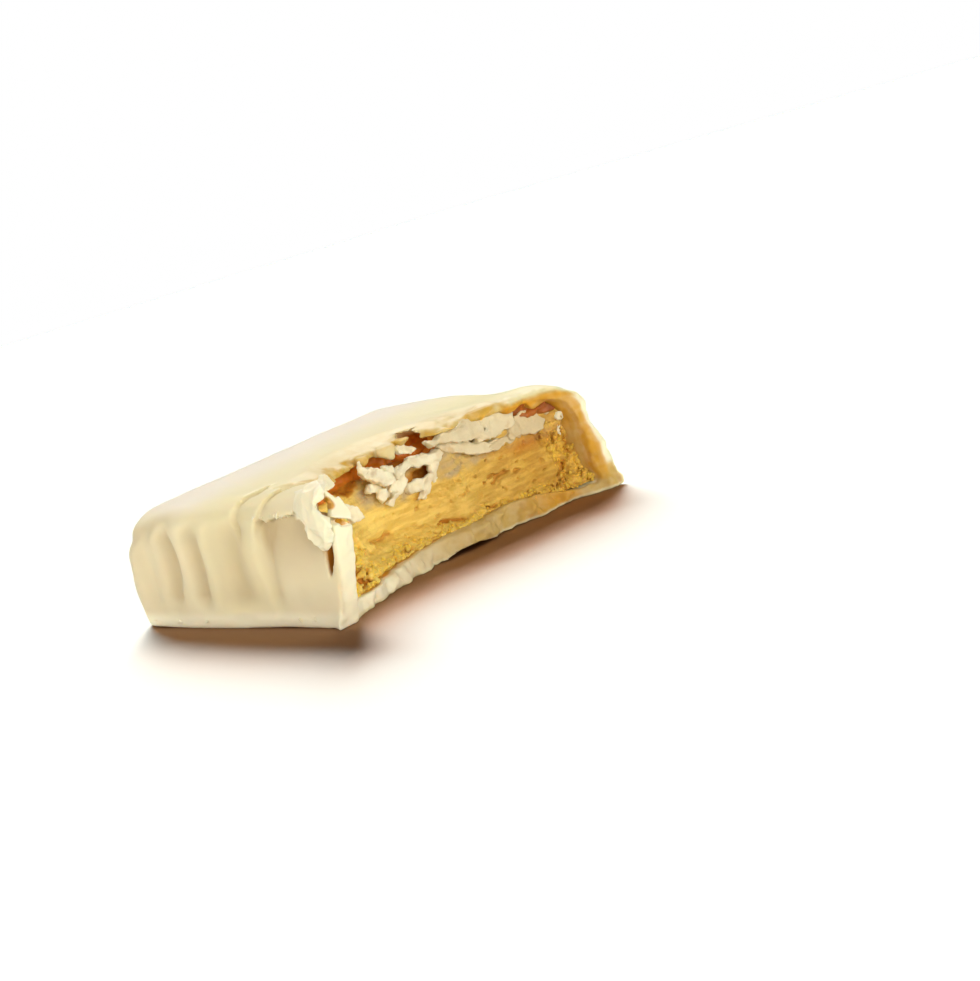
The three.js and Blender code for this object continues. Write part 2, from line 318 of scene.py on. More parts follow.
# Lumps of half-melted coating under the top: place (x, y, z) and radii.
COAT_LUMPS = (
    ((-7.7, -3.0, 13.0), (1.0, 1.15, 1.25)),
    ((-7.9, -6.3, 13.2), (1.0, 0.75, 1.1)),
    ((-7.7, 3.4, 13.1), (1.0, 1.3, 0.75)),
    ((-7.4, 5.6, 13.0), (1.0, 1.2, 0.7)),
    ((-7.3, -1.0, 13.6), (1.0, 0.9, 0.7)),
    ((-4.9, 9.4, 13.0), (1.3, 2.2, 0.85)),
    ((-4.2, 13.0, 12.6), (1.3, 1.9, 0.75)),
    ((-3.6, 16.3, 12.1), (1.2, 1.5, 0.9)),
)
# The dark hollows in the caramel: place (x, y, z) and radii.
CARAMEL_HOLLOWS = (
    ((-8.6, -9.1, 11.4), (2.6, 2.4, 1.15)),
    ((-9.0, -4.3, 11.9), (2.4, 2.3, 0.85)),
    ((-9.0, 1.6, 12.5), (2.6, 2.4, 1.2)),
    ((-8.4, 0.0, 11.2), (1.8, 1.9, 0.5)),
    ((-7.4, 0.1, 9.0), (1.6, 1.5, 0.7)),
    ((-7.6, 6.8, 12.1), (1.6, 0.9, 0.45)),
    ((-5.2, 13.5, 11.1), (1.5, 0.5, 0.8)),
)
# The base is thin at the near side, thickest beyond the middle and thin again at the far wall.
BASE_ACROSS = ((-18, 0.8), (-12, 0.95), (-6, 1.1), (0, 1.25), (6, 1.4), (11, 1.25), (16, 0.7))
# The crevice in the dough's face, and the lower edge of the coating smeared over it, as (y, z).
CREVICE = ((-11, 4.9), (-6, 4.6), (-2.5, 3.8), (1, 3.1), (4.5, 2.4), (9, 2.9))
SMEAR_FOOT = (
    (-14, 9.6), (-9, 7.6), (-4, 6.4), (0, 7.4), (5, 7.2), (9, 7.4), (14, 7.4), (18, 7.4),
)
# The place behind the snapped corner's hole that gets the dark slit colour, painted shade over the stain:
# place (x, y, z) and radii.
BEHIND_HOLE = ((0.6, -18.4, 12.2), (2.8, 1.7, 1.2))

# ---- How finely each piece is made -------------------------------------------------------------

# Each grid has one or more runs along x, y and z, as (start, stop, gap) in millimetres.
COATING_GRID = (
    ((-38.2, -11.6, 0.5), (-11.6, 4.4, 0.2)),
    ((-23.0, 22.4, 0.25),),
    ((-0.9, 15.6, 0.22),),
)
DOUGH_GRID = (((-34.5, -12.0, 1.5), (-12.0, 3.0, 0.15)), ((-19.4, 19.4, 0.15),), ((1.3, 11.6, 0.15),))
CARAMEL_GRID = (((-34.5, -13.0, 1.5), (-13.0, 1.5, 0.2)), ((-19.4, 19.4, 0.2),), ((9.6, 13.6, 0.2),))
CORNER_GRID = (((-7.0, 5.0, 0.12),), ((-22.6, -14.2, 0.12),), ((7.4, 15.8, 0.12),))
LOOSE_GRID = (((-9.4, 0.6, 0.14),), ((-13.6, 20.8, 0.14),), ((6.6, 14.8, 0.14),))
# The shards' grids are worked out from their outlines: the gap, and the room round them.
SHARD_GAP = 0.12
SHARD_ROOM = {"along": 2.4, "around": 0.8}
MOST_TRIANGLES = {
    "coating": 190000,
    "dough": 185000,
    "caramel": 80000,
    "shards": 60000,
    "corner": 90000,
    "loose": 70000,
}
# Crumbs and chips: how many for each square metre, their sizes in metres and their seed.
DOUGH_CRUMBS = {"Density": 0.45e7, "Smallest": 0.08 * MM, "Unevenness": 0.2 * MM, "Seed": 3}
COATING_CHIPS = {"Density": 1.5e6, "Smallest": 0.12 * MM, "Unevenness": 0.2 * MM, "Seed": 9}


def lerp(a, b, share):
    return a + (b - a) * share


def clamp(share):
    return np.clip(share, 0.0, 1.0)


def smooth(share):
    return clamp(share) ** 2 * (3 - 2 * clamp(share))


def on_line(place, points):
    """The height of a line of points at a place along it."""
    return np.interp(place, [p[0] for p in points], [p[1] for p in points])


def soft_max(a, b, soft):
    """The larger of two distances, with a rounded turn of this size where they meet."""
    share = clamp(0.5 + 0.5 * (a - b) / soft)
    return lerp(b, a, share) + soft * share * (1 - share)


def soft_min(a, b, soft):
    return -soft_max(-a, -b, soft)


def round_corner(a, b, radius):
    """The distance outside the corner of two faces, rounded to this radius."""
    qa = a + radius
    qb = b + radius
    return np.hypot(np.maximum(qa, 0), np.maximum(qb, 0)) + np.minimum(np.maximum(qa, qb), 0) - radius


LATTICE_SIDE = 64
LATTICE = np.random.default_rng(11).uniform(-1, 1, LATTICE_SIDE**3).astype(np.float32)


def noise(x, y, z, size, seed=0):
    """Smooth noise from -1 to 1. size is how far apart its bumps are, in all directions or in each."""
    sizes = size if isinstance(size, tuple) else (size, size, size)
    lower, upper, share = [], [], []
    for axis, (place, gap) in enumerate(zip((x, y, z), sizes)):
        cell = np.asarray(place, np.float32) / gap + 13.37 * seed + 0.41 * axis
        whole = np.floor(cell)
        stride = LATTICE_SIDE**axis
        lower.append((whole.astype(np.int64) % LATTICE_SIDE) * stride)
        upper.append(((whole.astype(np.int64) + 1) % LATTICE_SIDE) * stride)
        share.append(smooth(cell - whole))
    total = 0
    for corner in product((0, 1), repeat=3):
        index = 0
        weight = 1
        for axis, high in enumerate(corner):
            index = index + (upper if high else lower)[axis]
            weight = weight * (share[axis] if high else 1 - share[axis])
        total = total + weight * LATTICE[index]
    return total


def rough(x, y, z, size, octaves=3, seed=0):
    """Noise with finer and finer bumps on it."""
    total = 0
    for octave in range(octaves):
        total = total + noise(x, y, z, size / 2.1**octave, seed + 5 * octave) / 2**octave
    return total


def cells(x, y, z, size, seed=0):
    """The distance to the nearest of many scattered points, one in each cube of this size, in cubes.

    It is partly measured along the axes, so that lumps made from it are a little angular."""
    place = np.broadcast_arrays(*(np.asarray(c, np.float32) / size for c in (x, y, z)))
    whole = [np.floor(p).astype(np.int64) for p in place]
    nearest = np.float32(9)
    for shift in product((-1, 0, 1), repeat=3):
        cube = [w + s for w, s in zip(whole, shift)]
        index = sum(c % LATTICE_SIDE * LATTICE_SIDE**axis for axis, c in enumerate(cube))
        gaps = []
        for axis in range(3):
            jitter = LATTICE[(index + 7919 * (axis + 1) + seed) % LATTICE.size]
            gaps.append(np.abs(cube[axis] + 0.5 + 0.45 * jitter - place[axis]))
        round_gap = np.sqrt(gaps[0] ** 2 + gaps[1] ** 2 + gaps[2] ** 2)
        square_gap = np.maximum(np.maximum(gaps[0], gaps[1]), gaps[2])
        nearest = np.minimum(nearest, 0.5 * round_gap + 0.62 * square_gap)
    return nearest


def outline_distance(u, v, outline):
    """The distance outside a closed outline, in its own plane."""
    nearest = np.inf
    inside = np.zeros(np.broadcast(u, v).shape, bool)
    for (u0, v0), (u1, v1) in zip(outline, outline[1:] + outline[:1]):
        du, dv = u1 - u0, v1 - v0
        share = clamp(((u - u0) * du + (v - v0) * dv) / (du * du + dv * dv))
        nearest = np.minimum(nearest, np.hypot(u - u0 - share * du, v - v0 - share * dv))
        crosses = ((v0 > v) != (v1 > v)) & (u < u0 + (v - v0) * du / (dv if dv else 1e-9))
        inside ^= crosses
    return np.where(inside, -nearest, nearest)


def blob(x, y, z, place, radii):
    """The distance outside an egg-shaped lump, good near its surface."""
    scaled = [(c - p) / r for c, p, r in zip((x, y, z), place, radii)]
    return (np.sqrt(sum(s * s for s in scaled)) - 1) * min(radii)


class BarForm:
    """The bar's shape, worked out from the sizes in the panel."""

    def __init__(self, sizes):
        self.width = sizes.width / MM
        self.height = sizes.height / MM
        self.end_height = sizes.end_height / MM
        self.length = sizes.length / MM
        self.wall = sizes.wall / MM
        self.top = sizes.top / MM
        self.base = sizes.base / MM
        self.groove_depth = sizes.groove_depth / MM
        self.caramel_floor = sizes.caramel_floor / MM
        self.half = self.width / 2
        places = np.random.default_rng(5)
        self.side_grooves = []
        along = -40.0
        while along < 40.0:
            along += GROOVE_PITCH * places.uniform(0.75, 1.3)
            self.side_grooves.append((along, places.uniform(0.25, 0.55), places.uniform(0.9, 1.4)))

    def straightened(self, x, y, z):
        """The point of a straight bar that has settled to this one."""
        side = y / self.half
        straight_x, straight_z = x, z
        for _ in range(2):
            share = clamp(-straight_x / self.length)
            sink = lerp(1, (self.end_height + END_TILT * side) / self.height, share)
            straight_z = z / sink
            spread = END_SPREAD * (1 - straight_z / self.height)
            spread = spread + END_BULGE[2] * np.exp(-(((z - END_BULGE[0]) / END_BULGE[1]) ** 2))
            straight_x = x - END_SLANT * share * side + spread * share**2
        return straight_x, straight_z

    def body(self, x, y, z, wall=0.0, base=0.0, top=0.0, sag=0.0):
        """The distance outside the unbitten bar, pulled in by a wall, a base and a top."""
        x, z = self.straightened(x, y, z)
        side = np.abs(y) - self.half + wall
        plan = round_corner(side, -x - self.length + wall, CORNER_RADIUS)
        away = np.maximum(smooth((y + 12) / 24), smooth((-x - self.length + 12) / 9))
        radius = lerp(TOP_EDGE["near"], TOP_EDGE["rest"], away)
        radius = radius + (TOP_EDGE["end"] - TOP_EDGE["rest"]) * smooth((-x - self.length + 8) / 6)
        crown = CROWN * (1 - (y / self.half) ** 2) * smooth((x + self.length) / 8)
        over = round_corner(plan, z - self.height + top - crown + sag, radius)
        return np.maximum(over, round_corner(plan, base - z, FOOT_RADIUS))

    def tooth_edge(self, y, z):
        """Where the tooth marks lie, as a place along the bar."""
        share = clamp(z / self.height)
        reach = lerp(0, lerp(FAR_RIM[0], FAR_RIM[1], share), smooth((y + self.half) / self.width))
        for across, radius, at_base, at_top in TEETH:
            offset = np.minimum(np.abs(y - across), radius)
            sagitta = radius - np.sqrt(radius**2 - offset**2)
            reach = soft_min(reach, sagitta - lerp(at_base, at_top, share), TEETH_BLEND)
        return reach

    def shell_edge(self, y, z):
        """Where the coating ends, with the near wall standing in front of the tooth marks."""
        wall = lerp(NEAR_WALL["at_base"], NEAR_WALL["at_top"], clamp(z / self.height))
        inner = lerp(NEAR_WALL["base"], NEAR_WALL["top"], clamp(z / self.height))
        standing = smooth((inner - y) / NEAR_WALL["edge"])
        chip = smooth((z - CHIP["from"]) / CHIP["edge"]) * smooth((CHIP["across"] - y) / CHIP["edge"])
        return lerp(self.tooth_edge(y, z), wall, standing) - CHIP["depth"] * chip

    def grooves(self, along, places):
        """How deep the soft grooves are at a distance along a wall."""
        total = 0
        for place, depth, width in places:
            total = total + depth * np.exp(-(((along - place) / width) ** 2))
        return total * self.groove_depth / FULL_GROOVE

    def waves(self, x, y, z):
        """How far the poured coating's waves and folds go into the walls."""
        low = smooth((z - 1.6) / 2.0)
        bend = GROOVE_BEND[1] * np.maximum(z - GROOVE_BEND[0], 0) ** 2
        upright = GROOVE_LEAN * (z - self.height / 2) + bend
        wander = 0.7 * noise(x, y, z, 6.0, 35) + 0.3 * noise(x, y, z, 2.4, 37)
        along = x - upright + wander
        near = smooth((-y - 14) / 5) * smooth((13.0 - z) / 3.6) * self.grooves(along, NEAR_GROOVES)
        far = smooth((y - 14) / 5) * smooth((11.6 - z) / 4) * self.grooves(along, self.side_grooves)
        end = smooth((-x - self.length + 7) / 4) * smooth((12.6 - z) / 4)
        end = end * self.grooves(y + upright + wander, self.side_grooves)
        fold = 0
        for points in FOLDS:
            ahead = x - on_line(z, points) + 0.3 * wander
            fold = fold + FOLD_DEPTH * smooth(ahead / 0.5) * np.exp(-np.maximum(ahead, 0) / 2.0)
        fold = fold * smooth((z - 8.5) / 2.5) * smooth((15.4 - z) / 1.2) * smooth((-y - 15) / 3)
        return low * (np.maximum(np.maximum(near, far), end) + fold)

    def sunk_wall(self, x, y, z):
        """How far the near wall has sunk below its crack."""
        line = on_line(x, CRACK)
        line = line + 0.22 * noise(x, 0, 0, 0.8, 21) + 0.1 * noise(x, 0, 0, 0.3, 22)
        below = smooth((line - z) / 0.25) * smooth((z - 3.5) / 7)
        along = smooth((x + 9.4) / 1.0) * smooth((6 - x) / 2)
        return CRACK_SINK * below * along * smooth((-y - 16) / 3)

    def base_here(self, y):
        """How thick the base is at a place across the bar."""
        return self.base * on_line(y, BASE_ACROSS)

    def wall_here(self, y):
        """How thick the walls are: the near one is the thickest."""
        return self.wall + 1.2 * smooth((-y - 14) / 4)

    def near_top(self, y, z):
        """Which part of the broken edge belongs to the top: 1 there and 0 lower down."""
        return smooth((z - 10.5) / 2) * smooth((y + 18) / 3)

    def ragged(self, x, y, z):
        """How far the coating's edge is broken back from the tooth marks."""
        high = self.near_top(y, z)
        low = smooth((2.8 - z) / 0.8) * smooth((y + 18) / 3)
        broken = lerp(0.3, 0.5, high) * rough(x, y, z, 2.2, 3, 31)
        broken = broken + lerp(0.12, 0.25, high) * noise(x, y, z, 0.7, 34)
        jags = 0.4 * (cells(0, y, z, 1.9, 12) - 0.5) + 0.5 * rough(0, y, 0.8 * z, 1.7, 3, 38)
        return broken + low * (jags - 0.1 - self.shelf(y))

    def shelf(self, y):
        """How much further out the base reaches than the tooth marks."""
        return SHELF["reach"] * np.exp(-(((y - SHELF["across"]) / SHELF["half"]) ** 4))

    def sag(self, x, y, z, edge):
        """How far the top has sunk towards the bite."""
        return 0.8 * smooth((x - edge + 4.2) / 4.2) * smooth((z - 10.5) / 2) * smooth((y + 17) / 3)

    def coating(self, x, y, z):
        """The distance outside the bitten coating."""
        edge = self.shell_edge(y, z)
        high = self.near_top(y, z)
        bitten = (x - edge + self.ragged(x, y, z)) * 0.85
        sag = self.sag(x, y, z, edge)
        outside = self.body(x, y, z, sag=sag) + self.waves(x, y, z) + self.sunk_wall(x, y, z)
        outside = outside + 0.12 * noise(x, y, z, 8.0, 41) + 0.04 * noise(x, y, z, 2.6, 42)
        dip = TOP_DIP[2] * np.exp(-(((x - TOP_DIP[0]) / TOP_DIP[1]) ** 2)) * smooth((y + 4) / 20)
        outside = outside + dip * smooth((z - 9) / 4)
        near_wall = smooth((-y - 19) / 1.5)
        flare = 0.95 * np.exp(-(((x - 0.9) / 1.3) ** 2)) * smooth((2.4 - z) / 2.4) * near_wall
        foot = 0.18 * np.exp(-(((z - 1.0) / 0.7) ** 2)) * smooth(0.4 + noise(x, y, 0, 3.0, 36)) * near_wall
        outside = outside - flare - foot
        slit = np.hypot((x - 0.75 - 0.28 * (z - 7.2)) / 0.5, (z - 7.2) / 1.8) - 1
        slit = np.maximum(slit * 0.35, y + self.half - 1.5)
        shell = soft_max(outside, bitten, lerp(0.35, 1.3, high))
        roof = lerp(1.0, self.top, smooth((edge - x) / 5))
        hollow = self.body(x, y, z, self.wall_here(y), self.base_here(y), roof, sag)
        hollow = hollow + 0.14 * rough(x, y, z, 3.4, 2, 51)
        streaky = 0.3 * np.abs(noise(x, y, z, (1.6, 1.6, 3.0), 52)) + 0.15 * np.abs(noise(x, y, z, 0.8, 53))
        shell = np.maximum(shell, streaky * smooth((y - 14) / 3) - hollow)
        for place, radii in COAT_LUMPS:
            lump = blob(x, y, z, place, radii) + 0.25 * noise(x, y, z, 1.0, 231)
            lump = lump + 0.1 * noise(x, y, z, 0.45, 232)
            shell = soft_min(shell, np.maximum(lump, self.body(x, y, z, sag=sag) + 0.1), 0.5)
        shell = soft_max(shell, -self.hollows(x, y, z) - 0.1, 0.25)
        shell = soft_max(shell, -blob(x, y, z, *CORNER_HOLLOW), 0.2)
        lift = UNDERCUT["height"] * np.exp(-(((y - UNDERCUT["across"]) / UNDERCUT["half"]) ** 2))
        under = lift * smooth((x - UNDERCUT["behind"]) / 2.5)
        under = under + 0.12 * noise(x, y, 0, 0.9, 40) * smooth((x + 8) / 2)
        return np.maximum(np.maximum(shell, -slit), 0.9 * (np.maximum(under, 0) - z))

    def hollows(self, x, y, z):
        """The distance outside the hollows that the bite tore open under the top."""
        nearest = np.inf
        wander = 0.3 * noise(x, y, z, 1.3, 85) + 0.12 * noise(x, y, z, 0.5, 86)
        for place, radii in CARAMEL_HOLLOWS:
            nearest = np.minimum(nearest, blob(x, y, z, place, radii))
        return nearest + wander

    def dough_front(self, y, z):
        """Where the dough's bitten face lies, before its relief."""
        recess = lerp(0.9, 2.0, clamp(z / self.height))
        forward = 1.9 * np.exp(-(((y + 2.6) / 5.5) ** 2) - ((z - 8.6) / 2.4) ** 2)
        torn = 0.7 * smooth((y - 15.0) / 3.0) * smooth((9.5 - z) / 2)
        lip = 0.55 * smooth((3.4 - z) / 1.0) + 0.75 * self.shelf(y) * smooth((4.6 - z) / 2.4)
        return self.tooth_edge(y, z) - recess + forward - torn + lip

    def crumbly(self, y, z):
        """How crumbly the dough's face is: at the far side, in the near lower corner and along its foot."""
        wander = 0.9 * noise(0, y, z, 1.8, 61) + 0.4 * noise(0, y, z, 0.7, 60)
        far = smooth((y + wander - 15.6 + 0.12 * z) / 1.2) * smooth((9.8 - z + 0.5 * wander) / 1.0)
        near = smooth((-y + wander - 11.2) / 1.5) * smooth((6.0 + wander - z) / 1.4)
        foot = 0.8 * smooth((3.3 + 0.8 * wander - z) / 0.6)
        return clamp(np.maximum(np.maximum(far, near), foot))

    def dough_relief(self, y, z):
        """How far the dough's smooth face stands forward, with its scrapes, its crevice and its ridge."""
        along = z - 0.12 * y
        scrapes = 0.07 * noise(0, y, along, (1, 5.5, 0.7), 62)
        scrapes = scrapes + 0.05 * noise(0, y, along, (1, 2.0, 0.3), 63)
        swell = 0.2 * rough(0, y + 0.5 * z, z - 0.35 * y, 4.2, 2, 64)
        line = on_line(y, CREVICE) + 0.45 * noise(0, y, 0, 1.3, 65)
        gap = smooth(0.5 + 2.2 * noise(0, y, z, 0.8, 66)) * smooth((y + 10) / 2) * smooth((9 - y) / 3)
        crevice = -0.7 * gap * np.exp(-(((z - line) / 0.26) ** 2))
        ridge_across = y + 12.8 - 0.3 * (8.1 - z)
        ridge = 0.9 * np.exp(-((ridge_across / 0.4) ** 2)) * smooth((z - 4) / 1) * smooth((9.6 - z) / 1)
        fine = 0.05 * noise(0, y, z, 0.4, 67) + 0.13 * np.abs(noise(0, y, along, (1, 1.5, 0.55), 58))
        return scrapes + fine + swell + crevice + ridge

    def pits(self, y, z):
        """How deep the small uneven holes in the dough's face are."""
        share = 0.15 + 0.85 * np.exp(-(((y - 8) / 4.5) ** 2) - ((z - 5.6) / 2.2) ** 2)
        tilted = z - 0.12 * y
        level = noise(0, y, tilted, (1, 0.95, 0.42), 68) + 0.5 * noise(0, y, tilted, (1, 0.4, 0.22), 69)
        return 0.55 * smooth((level - 0.8 + 0.42 * share) / 0.22) * (0.5 + 0.5 * share)

    def dough(self, x, y, z):
        """The distance outside the bitten dough."""
        crumbs = self.crumbly(y, z)
        plain = self.dough_front(y, z) + self.dough_relief(y, z) - (1 - crumbs) * self.pits(y, z)
        face = (x - plain) * 0.85 + 0 * z
        near = (np.abs(face) < 2.2) & (crumbs > 0)
        px, py, pz = (np.broadcast_to(c, face.shape)[near] for c in (x, y, z))
        wander = [0.3 * noise(px, py, pz, 0.9, seed) for seed in (73, 74, 75)]
        cracks = 0.55 * smooth(1 - np.abs(noise(px, py + wander[0], pz + wander[1], 1.7, 70)) / 0.2)
        cracks = cracks + 0.4 * smooth(1 - np.abs(noise(px + wander[2], py, pz + wander[0], 1.1, 77)) / 0.2)
        crags = 0.3 * noise(px, py, pz, 0.9, 78) + 0.3 * np.abs(noise(px, py, pz, 0.6, 79)) - 0.2
        torn = face[near] + 0.45 * noise(px, py, pz, 2.3, 71) + crags + cracks
        gaps = (noise(px, py, pz, 1.1, 76) + 0.5 * noise(px, py, pz, 0.5, 80) - 0.6) * 0.6
        crumb = np.maximum(torn - 0.1, np.minimum(torn + 0.5, gaps))
        face[near] = lerp(face[near], crumb, np.broadcast_to(crumbs, face.shape)[near])
        fill = self.body(x, y, z, self.wall_here(y) - 0.12, self.base_here(y) - 0.12, self.top - 0.1)
        fill = np.maximum(fill, z - self.caramel_floor - 0.25 + 0.3 * noise(x, y, 0, 1.8, 72))
        return soft_max(soft_max(fill, face, 0.3), -self.hollows(x, y, z), 0.2)

    def caramel(self, x, y, z):
        """The distance outside the caramel, with its hollows."""
        far = smooth((y - 11.5) / 2)
        front = self.tooth_edge(y, z) - lerp(2.2, 1.0, far)
        front = front + lerp(0.7, 0.3, far) * rough(0, y, z, 1.7, 2, 81)
        torn = 0.35 * np.abs(noise(x, y, z, 1.1, 83)) + 0.2 * noise(x, y, z, 0.6, 84)
        face = (x - front) * 0.8 + far * torn
        fill = self.body(x, y, z, self.wall_here(y) - 0.1, 0, self.top - 0.2)
        fill = np.maximum(fill, self.caramel_floor - 0.4 - z)
        return soft_max(soft_max(fill, face, 0.5), -self.hollows(x, y, z), 0.3)

    def shard(self, x, y, z, shard, seed, ragged=0.26, cracked=0.2, soft=0.06):
        """The distance outside one piece of broken coating."""
        middle = np.mean(shard["outline"], axis=0)
        wander = ragged * (noise(x, y, z, 0.9, seed) + 0.35 * noise(x, y, z, 0.4, seed + 1))
        wander = wander + 0.3 * ragged * noise(x, y, z, 0.22, seed + 6)
        plane = shard["at"] + shard["turn"] * (y - middle[0]) + shard["lean"] * (z - middle[1])
        slope = math.sqrt(1 + shard["turn"] ** 2 + shard["lean"] ** 2)
        bent = 1.3 * np.abs(noise(0, y, z, 1.9, seed + 2)) + 0.35 * np.abs(noise(x, y, z, 0.9, seed + 3))
        bent = bent + 0.25 * np.abs(noise(x, y, z, 0.35, seed + 4))
        crack = cracked * smooth(1 - np.abs(noise(0, y + 0.4 * z, z, 2.8, seed + 5)) / 0.07)
        depth = np.abs((x - plane) / slope + ragged * bent) - shard["thick"] / 2 + crack
        return soft_max(outline_distance(y, z, shard["outline"]) + wander, depth, soft)

    def shards(self, x, y, z, group, seed, cracked=0.2, soft=0.06):
        """Several pieces of broken coating as one."""
        nearest = np.inf
        for number, shard in enumerate(group):
            piece = self.shard(x, y, z, shard, seed + 7 * number, 0.26, cracked, soft)
            nearest = np.minimum(nearest, piece)
        return nearest

    def corner(self, x, y, z):
        """The snapped corner: the hanging flake of wall, a bright facet and a small peak."""
        skin = self.body(x, y, z)
        over = z + y + self.half
        out = 0.3 + 0.05 * (x + 2.6) + 0.05 * np.maximum(12 - z, 0)
        out = out - 0.3 * smooth((over - 14.2) / 2.5) - 0.25 * smooth((-0.6 - x) / 1.6)
        bulge = 0.35 * np.exp(-(((x + 0.2) / 2.2) ** 2) - ((over - 15.0) / 2.4) ** 2)
        creases = 0.5 * np.abs(noise(x, y, z, 2.0, 91)) + 0.25 * np.abs(noise(x, y, z, 0.9, 97))
        slab = np.abs(skin - out - bulge + 0.35 + creases) - 0.38
        edge = outline_distance(x + 0 * y, over + 0 * x, CORNER_FLAKE) * 0.75
        edge = edge + 0.22 * noise(x, y, z, 0.9, 92) + 0.12 * noise(x, y, z, 0.4, 95)
        flake = soft_max(np.maximum(slab, y + 15.2), edge, 0.06)
        facet = self.shard(x, y, z, CORNER_FACET, 93, 0.08, 0)
        peak = self.shard(x, y, z, CORNER_PEAK, 94, 0.14, 0)
        flake = soft_max(flake, -self.corner_hole(x, y, z), 0.1)
        return soft_min(soft_min(flake, facet, 0.08), peak, 0.08)

    def corner_hole(self, x, y, z):
        """The distance outside the small hole in the snapped corner."""
        return blob(x, y, z, *CORNER_HOLE) + 0.14 * noise(x, y, z, 0.8, 96)

    def loose(self, x, y, z):
        """The loose flakes of coating."""
        return self.shards(x, y, z, LOOSE_FLAKES, 201)


# ---- From distances to meshes ---------------------------------------------------------------

# How far apart two distances are read for a slope, and the farthest that a point is moved at once.
NUDGE = 0.02
FARTHEST_MOVE = 0.12
# Points are drawn together and then pushed apart a little more, so that the shape keeps its size.
EVENING = (0.5, -0.52)


def steps(runs):
    """The places of a grid along one axis."""
    places = [np.linspace(start, stop, int(round((stop - start) / gap)) + 1) for start, stop, gap in runs]
    return np.concatenate([run[:-1] for run in places[:-1]] + places[-1:])


def net_points(field, axes, where):
    """A point in each crossed cube: the middle of the places where the surface cuts its edges."""
    total = np.zeros((len(where), 3))
    hits = np.zeros(len(where))
    for axis in range(3):
        step = np.eye(3, dtype=int)[axis]
        for shift in product((0, 1), repeat=3):
            if shift[axis]:
                continue
            low = where + shift
            high = low + step
            near, far = field[tuple(low.T)], field[tuple(high.T)]
            hit = (near < 0) != (far < 0)
            share = near[hit] / (near[hit] - far[hit])
            place = np.stack([axes[d][low[hit, d]] for d in range(3)], 1)
            place[:, axis] = lerp(place[:, axis], axes[axis][high[hit, axis]], share)
            total[hit] += place
            hits[hit] += 1
    return total / hits[:, None]


def net_quads(inside, number):
    """A quad across each edge of the grid that the surface cuts, facing outwards."""
    quads = []
    for axis in range(3):
        across, up = (axis + 1) % 3, (axis + 2) % 3
        low = [slice(1, -1)] * 3
        high = [slice(1, -1)] * 3
        low[axis], high[axis] = slice(None, -1), slice(1, None)
        change = inside[tuple(low)] != inside[tuple(high)]
        place = np.argwhere(change)
        place[:, across] += 1
        place[:, up] += 1
        outward = inside[tuple(place.T)]
        corners = []
        for back_across, back_up in ((1, 1), (0, 1), (0, 0), (1, 0)):
            cell = place.copy()
            cell[:, across] -= back_across
            cell[:, up] -= back_up
            corners.append(number[tuple(cell.T)])
        ring = np.stack(corners, 1)
        quads.append(np.where(outward[:, None], ring, ring[:, ::-1]))
    return np.concatenate(quads)


def surface_net(field, axes):
    """Points and quads of the closed surface where a grid of distances passes zero."""
    inside = field < 0
    cubes = tuple(n - 1 for n in field.shape)
    count = np.zeros(cubes, np.int8)
    for shift in product((0, 1), repeat=3):
        count += inside[tuple(slice(s, s + n) for s, n in zip(shift, cubes))]
    crossed = (count > 0) & (count < 8)
    where = np.argwhere(crossed)
    number = np.full(cubes, -1)
    number[crossed] = np.arange(len(where))
    return net_points(field, axes, where), net_quads(inside, number)


def edges_of(quads):
    return np.concatenate([quads[:, [k, (k + 1) % 4]] for k in range(4)])


def largest_parts(points, quads, share):
    """Drops the specks: parts with less than this share of all the points."""
    edges = edges_of(quads)
    label = np.arange(len(points))
    while True:
        lowest = label.copy()
        np.minimum.at(lowest, edges[:, 0], label[edges[:, 1]])
        np.minimum.at(lowest, edges[:, 1], label[edges[:, 0]])
        lowest = lowest[lowest]
        if (lowest == label).all():
            break
        label = lowest
    size = np.bincount(label, minlength=len(points))
    keep = size[label] >= share * len(points)
    number = np.cumsum(keep) - 1
    return points[keep], number[quads[keep[quads].all(1)]]


def relaxed(points, quads):
    """Evens out the steps of the grid without shrinking the shape."""
    edges = edges_of(quads)
    links = np.maximum(np.bincount(edges[:, 0], minlength=len(points)), 1)[:, None]
    for weight in EVENING:
        sums = [np.bincount(edges[:, 0], points[edges[:, 1], d], len(points)) for d in range(3)]
        points = points + weight * (np.stack(sums, 1) / links - points)
    return points


def mesh_of(name, points, quads):
    """A mesh, set in the part's frame and in metres."""
    shift = np.array([CAD_BOX[1].x / MM - FORWARD_END, 0, 0])
    mesh = bpy.data.meshes.new(name)
    mesh.vertices.add(len(points))
    mesh.vertices.foreach_set("co", ((points + shift) * MM).astype(np.float32).ravel())
    mesh.loops.add(quads.size)
    mesh.loops.foreach_set("vertex_index", quads.astype(np.int32).ravel())
    mesh.polygons.add(len(quads))
    mesh.polygons.foreach_set("loop_start", np.arange(0, quads.size, 4, dtype=np.int32))
    mesh.update(calc_edges=True)
    mesh.validate()
    return mesh


def link(name, mesh):
    piece = bpy.data.objects.new(name, mesh)
    bpy.context.scene.collection.objects.link(piece)
    return piece


def made_plain(piece):
    """Turns a piece with modifiers into a plain mesh, and removes them."""
    depsgraph = bpy.context.evaluated_depsgraph_get()
    mesh = bpy.data.meshes.new_from_object(piece.evaluated_get(depsgraph), depsgraph=depsgraph)
    old = piece.data
    piece.modifiers.clear()
    piece.data = mesh
    if old.users == 0:
        bpy.data.meshes.remove(old)
    mesh.name = piece.name
    mesh.shade_smooth()
    return piece


def places_of(mesh):
    """The x, y and z of a mesh's points, in millimetres from the bite's near corner."""
    flat = np.empty(len(mesh.vertices) * 3, np.float32)
    mesh.vertices.foreach_get("co", flat)
    x, y, z = flat.reshape(-1, 3).T / MM
    return x - CAD_BOX[1].x / MM + FORWARD_END, y, z


